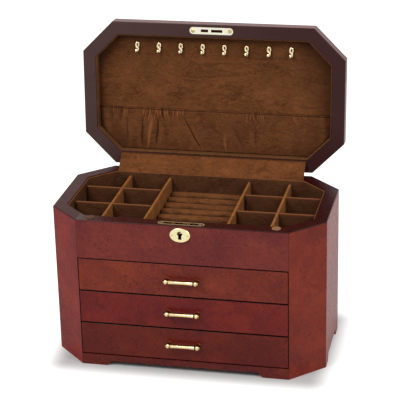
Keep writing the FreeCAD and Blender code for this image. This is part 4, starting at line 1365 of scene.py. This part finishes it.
# %% Make the flap
flap_columns = 96
last = len(line) - 1
points = []
shades = []
for j, (y, z) in enumerate(line):
    hang = math.sin(math.pi * j / last)
    for k in range(flap_columns + 1):
        x = half_flap * (2 * k / flap_columns - 1)
        soft = 0.35 * ripple((x, 3 * j, 0), 38.0, 6.0) + 0.15 * ripple((x, 3 * j, 0), 11.0, 3.0)
        points.append((x * (1 - 0.004 * hang), y + soft * hang, z - 0.2 * hang))
        # The flap's top end, where it goes under the lid's border, is painted dark, as painted
        # shade.
        shades.append(-max(0.0, 1 - 2.2 * (last - j) / 3))
flap = make_piece("hinge_flap_cloth", points, sheet_faces(len(line), flap_columns), flap_suede,
                  "case", "hinge_flap")
shade_folds(flap, shades)
thicken(flap, 0.0008, 0.0)
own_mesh(flap)

# %% [markdown]
# ## Drawer linings
#
# Each drawer has a thin suede pad on its floor. It hardly shows in use, but it should be there
# when a drawer is pulled out.

# %% Drawer pads
def drawer_pad(name):
    """A soft pad that fills the floor of one drawer."""
    low, high = span(name + "_lining")
    xs = steps(low[0], high[0], 6)
    ys = steps(low[1] - case_middle, high[1] - case_middle, 6)
    flat = [(x, y) for y in ys for x in xs]
    points = [(x, y, high[2] - 0.3 + 0.3 * ripple((x, y, low[2]), 30.0, 1.0)) for x, y in flat]
    points += [(x, y, low[2]) for x, y in flat]
    faces = slab_faces(len(ys), len(xs) - 1)
    made = make_piece(name + "_pad", points, faces, shaded_tray_suede, name, name + "_lining")


for name in ("top_drawer", "middle_drawer", "bottom_drawer"):
    drawer_pad(name)

# %% [markdown]
# ## Floor, lamps and world
#
# The chest stands on a white sweep that keeps only a soft shadow. Away from the chest the sweep
# gives light of its own to the camera, so it reads as white paper without flooding the chest
# with light; close to the chest it gives less, so that the shadow there can be seen.

# %% Floor
sweep = bpy.data.meshes.new("floor")
sweep.from_pydata([(-6, -6, 0), (6, -6, 0), (6, 6, 0), (-6, 6, 0)], [], [(0, 1, 2, 3)])
floor = bpy.data.objects.new("floor", sweep)
bpy.context.scene.collection.objects.link(floor)
paper, tree, shader = new_material("white_sweep")
shader.inputs["Base Color"].default_value = (0.62, 0.62, 0.62, 1)
shader.inputs["Roughness"].default_value = 0.9
shader.inputs["Specular IOR Level"].default_value = 0.0
shader.inputs["Emission Color"].default_value = (1, 1, 1, 1)
shadow_middle = (0.002, case_middle * MM - 0.010, 0)
shadow_half = ((half_width - 22) * MM, (half_depth - 12) * MM, 1)
shadow_reach = 0.050
sweep_glow = 0.85
from_chest = vectors(tree, "ABSOLUTE", vectors(tree, "SUBTRACT", here(tree), shadow_middle))
outside = vectors(tree, "MAXIMUM", vectors(tree, "SUBTRACT", from_chest, shadow_half))
away = node(tree, "VectorMath", {0: outside}, operation="LENGTH").outputs["Value"]
glow = smooth(tree, away, 0.0, shadow_reach, 0.0, sweep_glow)
rays = node(tree, "LightPath").outputs
seen = maths(tree, "MAXIMUM", rays["Is Camera Ray"], times(tree, rays["Is Glossy Ray"], 0.45))
tree.links.new(times(tree, seen, glow), shader.inputs["Emission Strength"])
sweep.materials.append(paper)
print("floor glows from", shadow_reach, "m away")

# %% [markdown]
# The room is white too. It is left brighter for the camera and for mirrors than for lighting, so
# that brass finds something pale to reflect while the wood keeps its depth.

# %% World
world = bpy.data.worlds.new("studio")
world.use_nodes = True
bpy.context.scene.world = world
tree = world.node_tree
sky = tree.nodes["Background"]
rays = node(tree, "LightPath").outputs
seen = maths(tree, "MAXIMUM", rays["Is Camera Ray"], rays["Is Transmission Ray"])
seen = maths(tree, "MAXIMUM", seen, rays["Is Glossy Ray"])
sky.inputs["Color"].default_value = (1, 1, 1, 1)
tree.links.new(smooth(tree, seen, 0.0, 1.0, 0.45, 1.0), sky.inputs["Strength"])
print("made the world", world.name)

# %% [markdown]
# Two large softboxes light the chest: the stronger one high on the left, a weaker one on the
# right. They are wide, because the shadows are soft-edged and the brass shows broad highlights.

# %% Lamps
def lamp(name, place, target, size, watts):
    """A square softbox that looks at a point; places are in metres."""
    light = bpy.data.lights.new(name, "AREA")
    light.size = size
    light.energy = watts
    made = bpy.data.objects.new(name, light)
    bpy.context.scene.collection.objects.link(made)
    made.location = place
    made.rotation_euler = (Vector(target) - Vector(place)).to_track_quat("-Z", "Y").to_euler()
    print("lamp", name, watts, "W")


lamp("key", (-0.95, -1.25, 1.8), (0, 0, 0.2), 0.9, 22)
lamp("fill", (1.45, -0.8, 1.35), (0, 0, 0.2), 0.9, 12)
bpy.context.scene.view_settings.view_transform = "Standard"
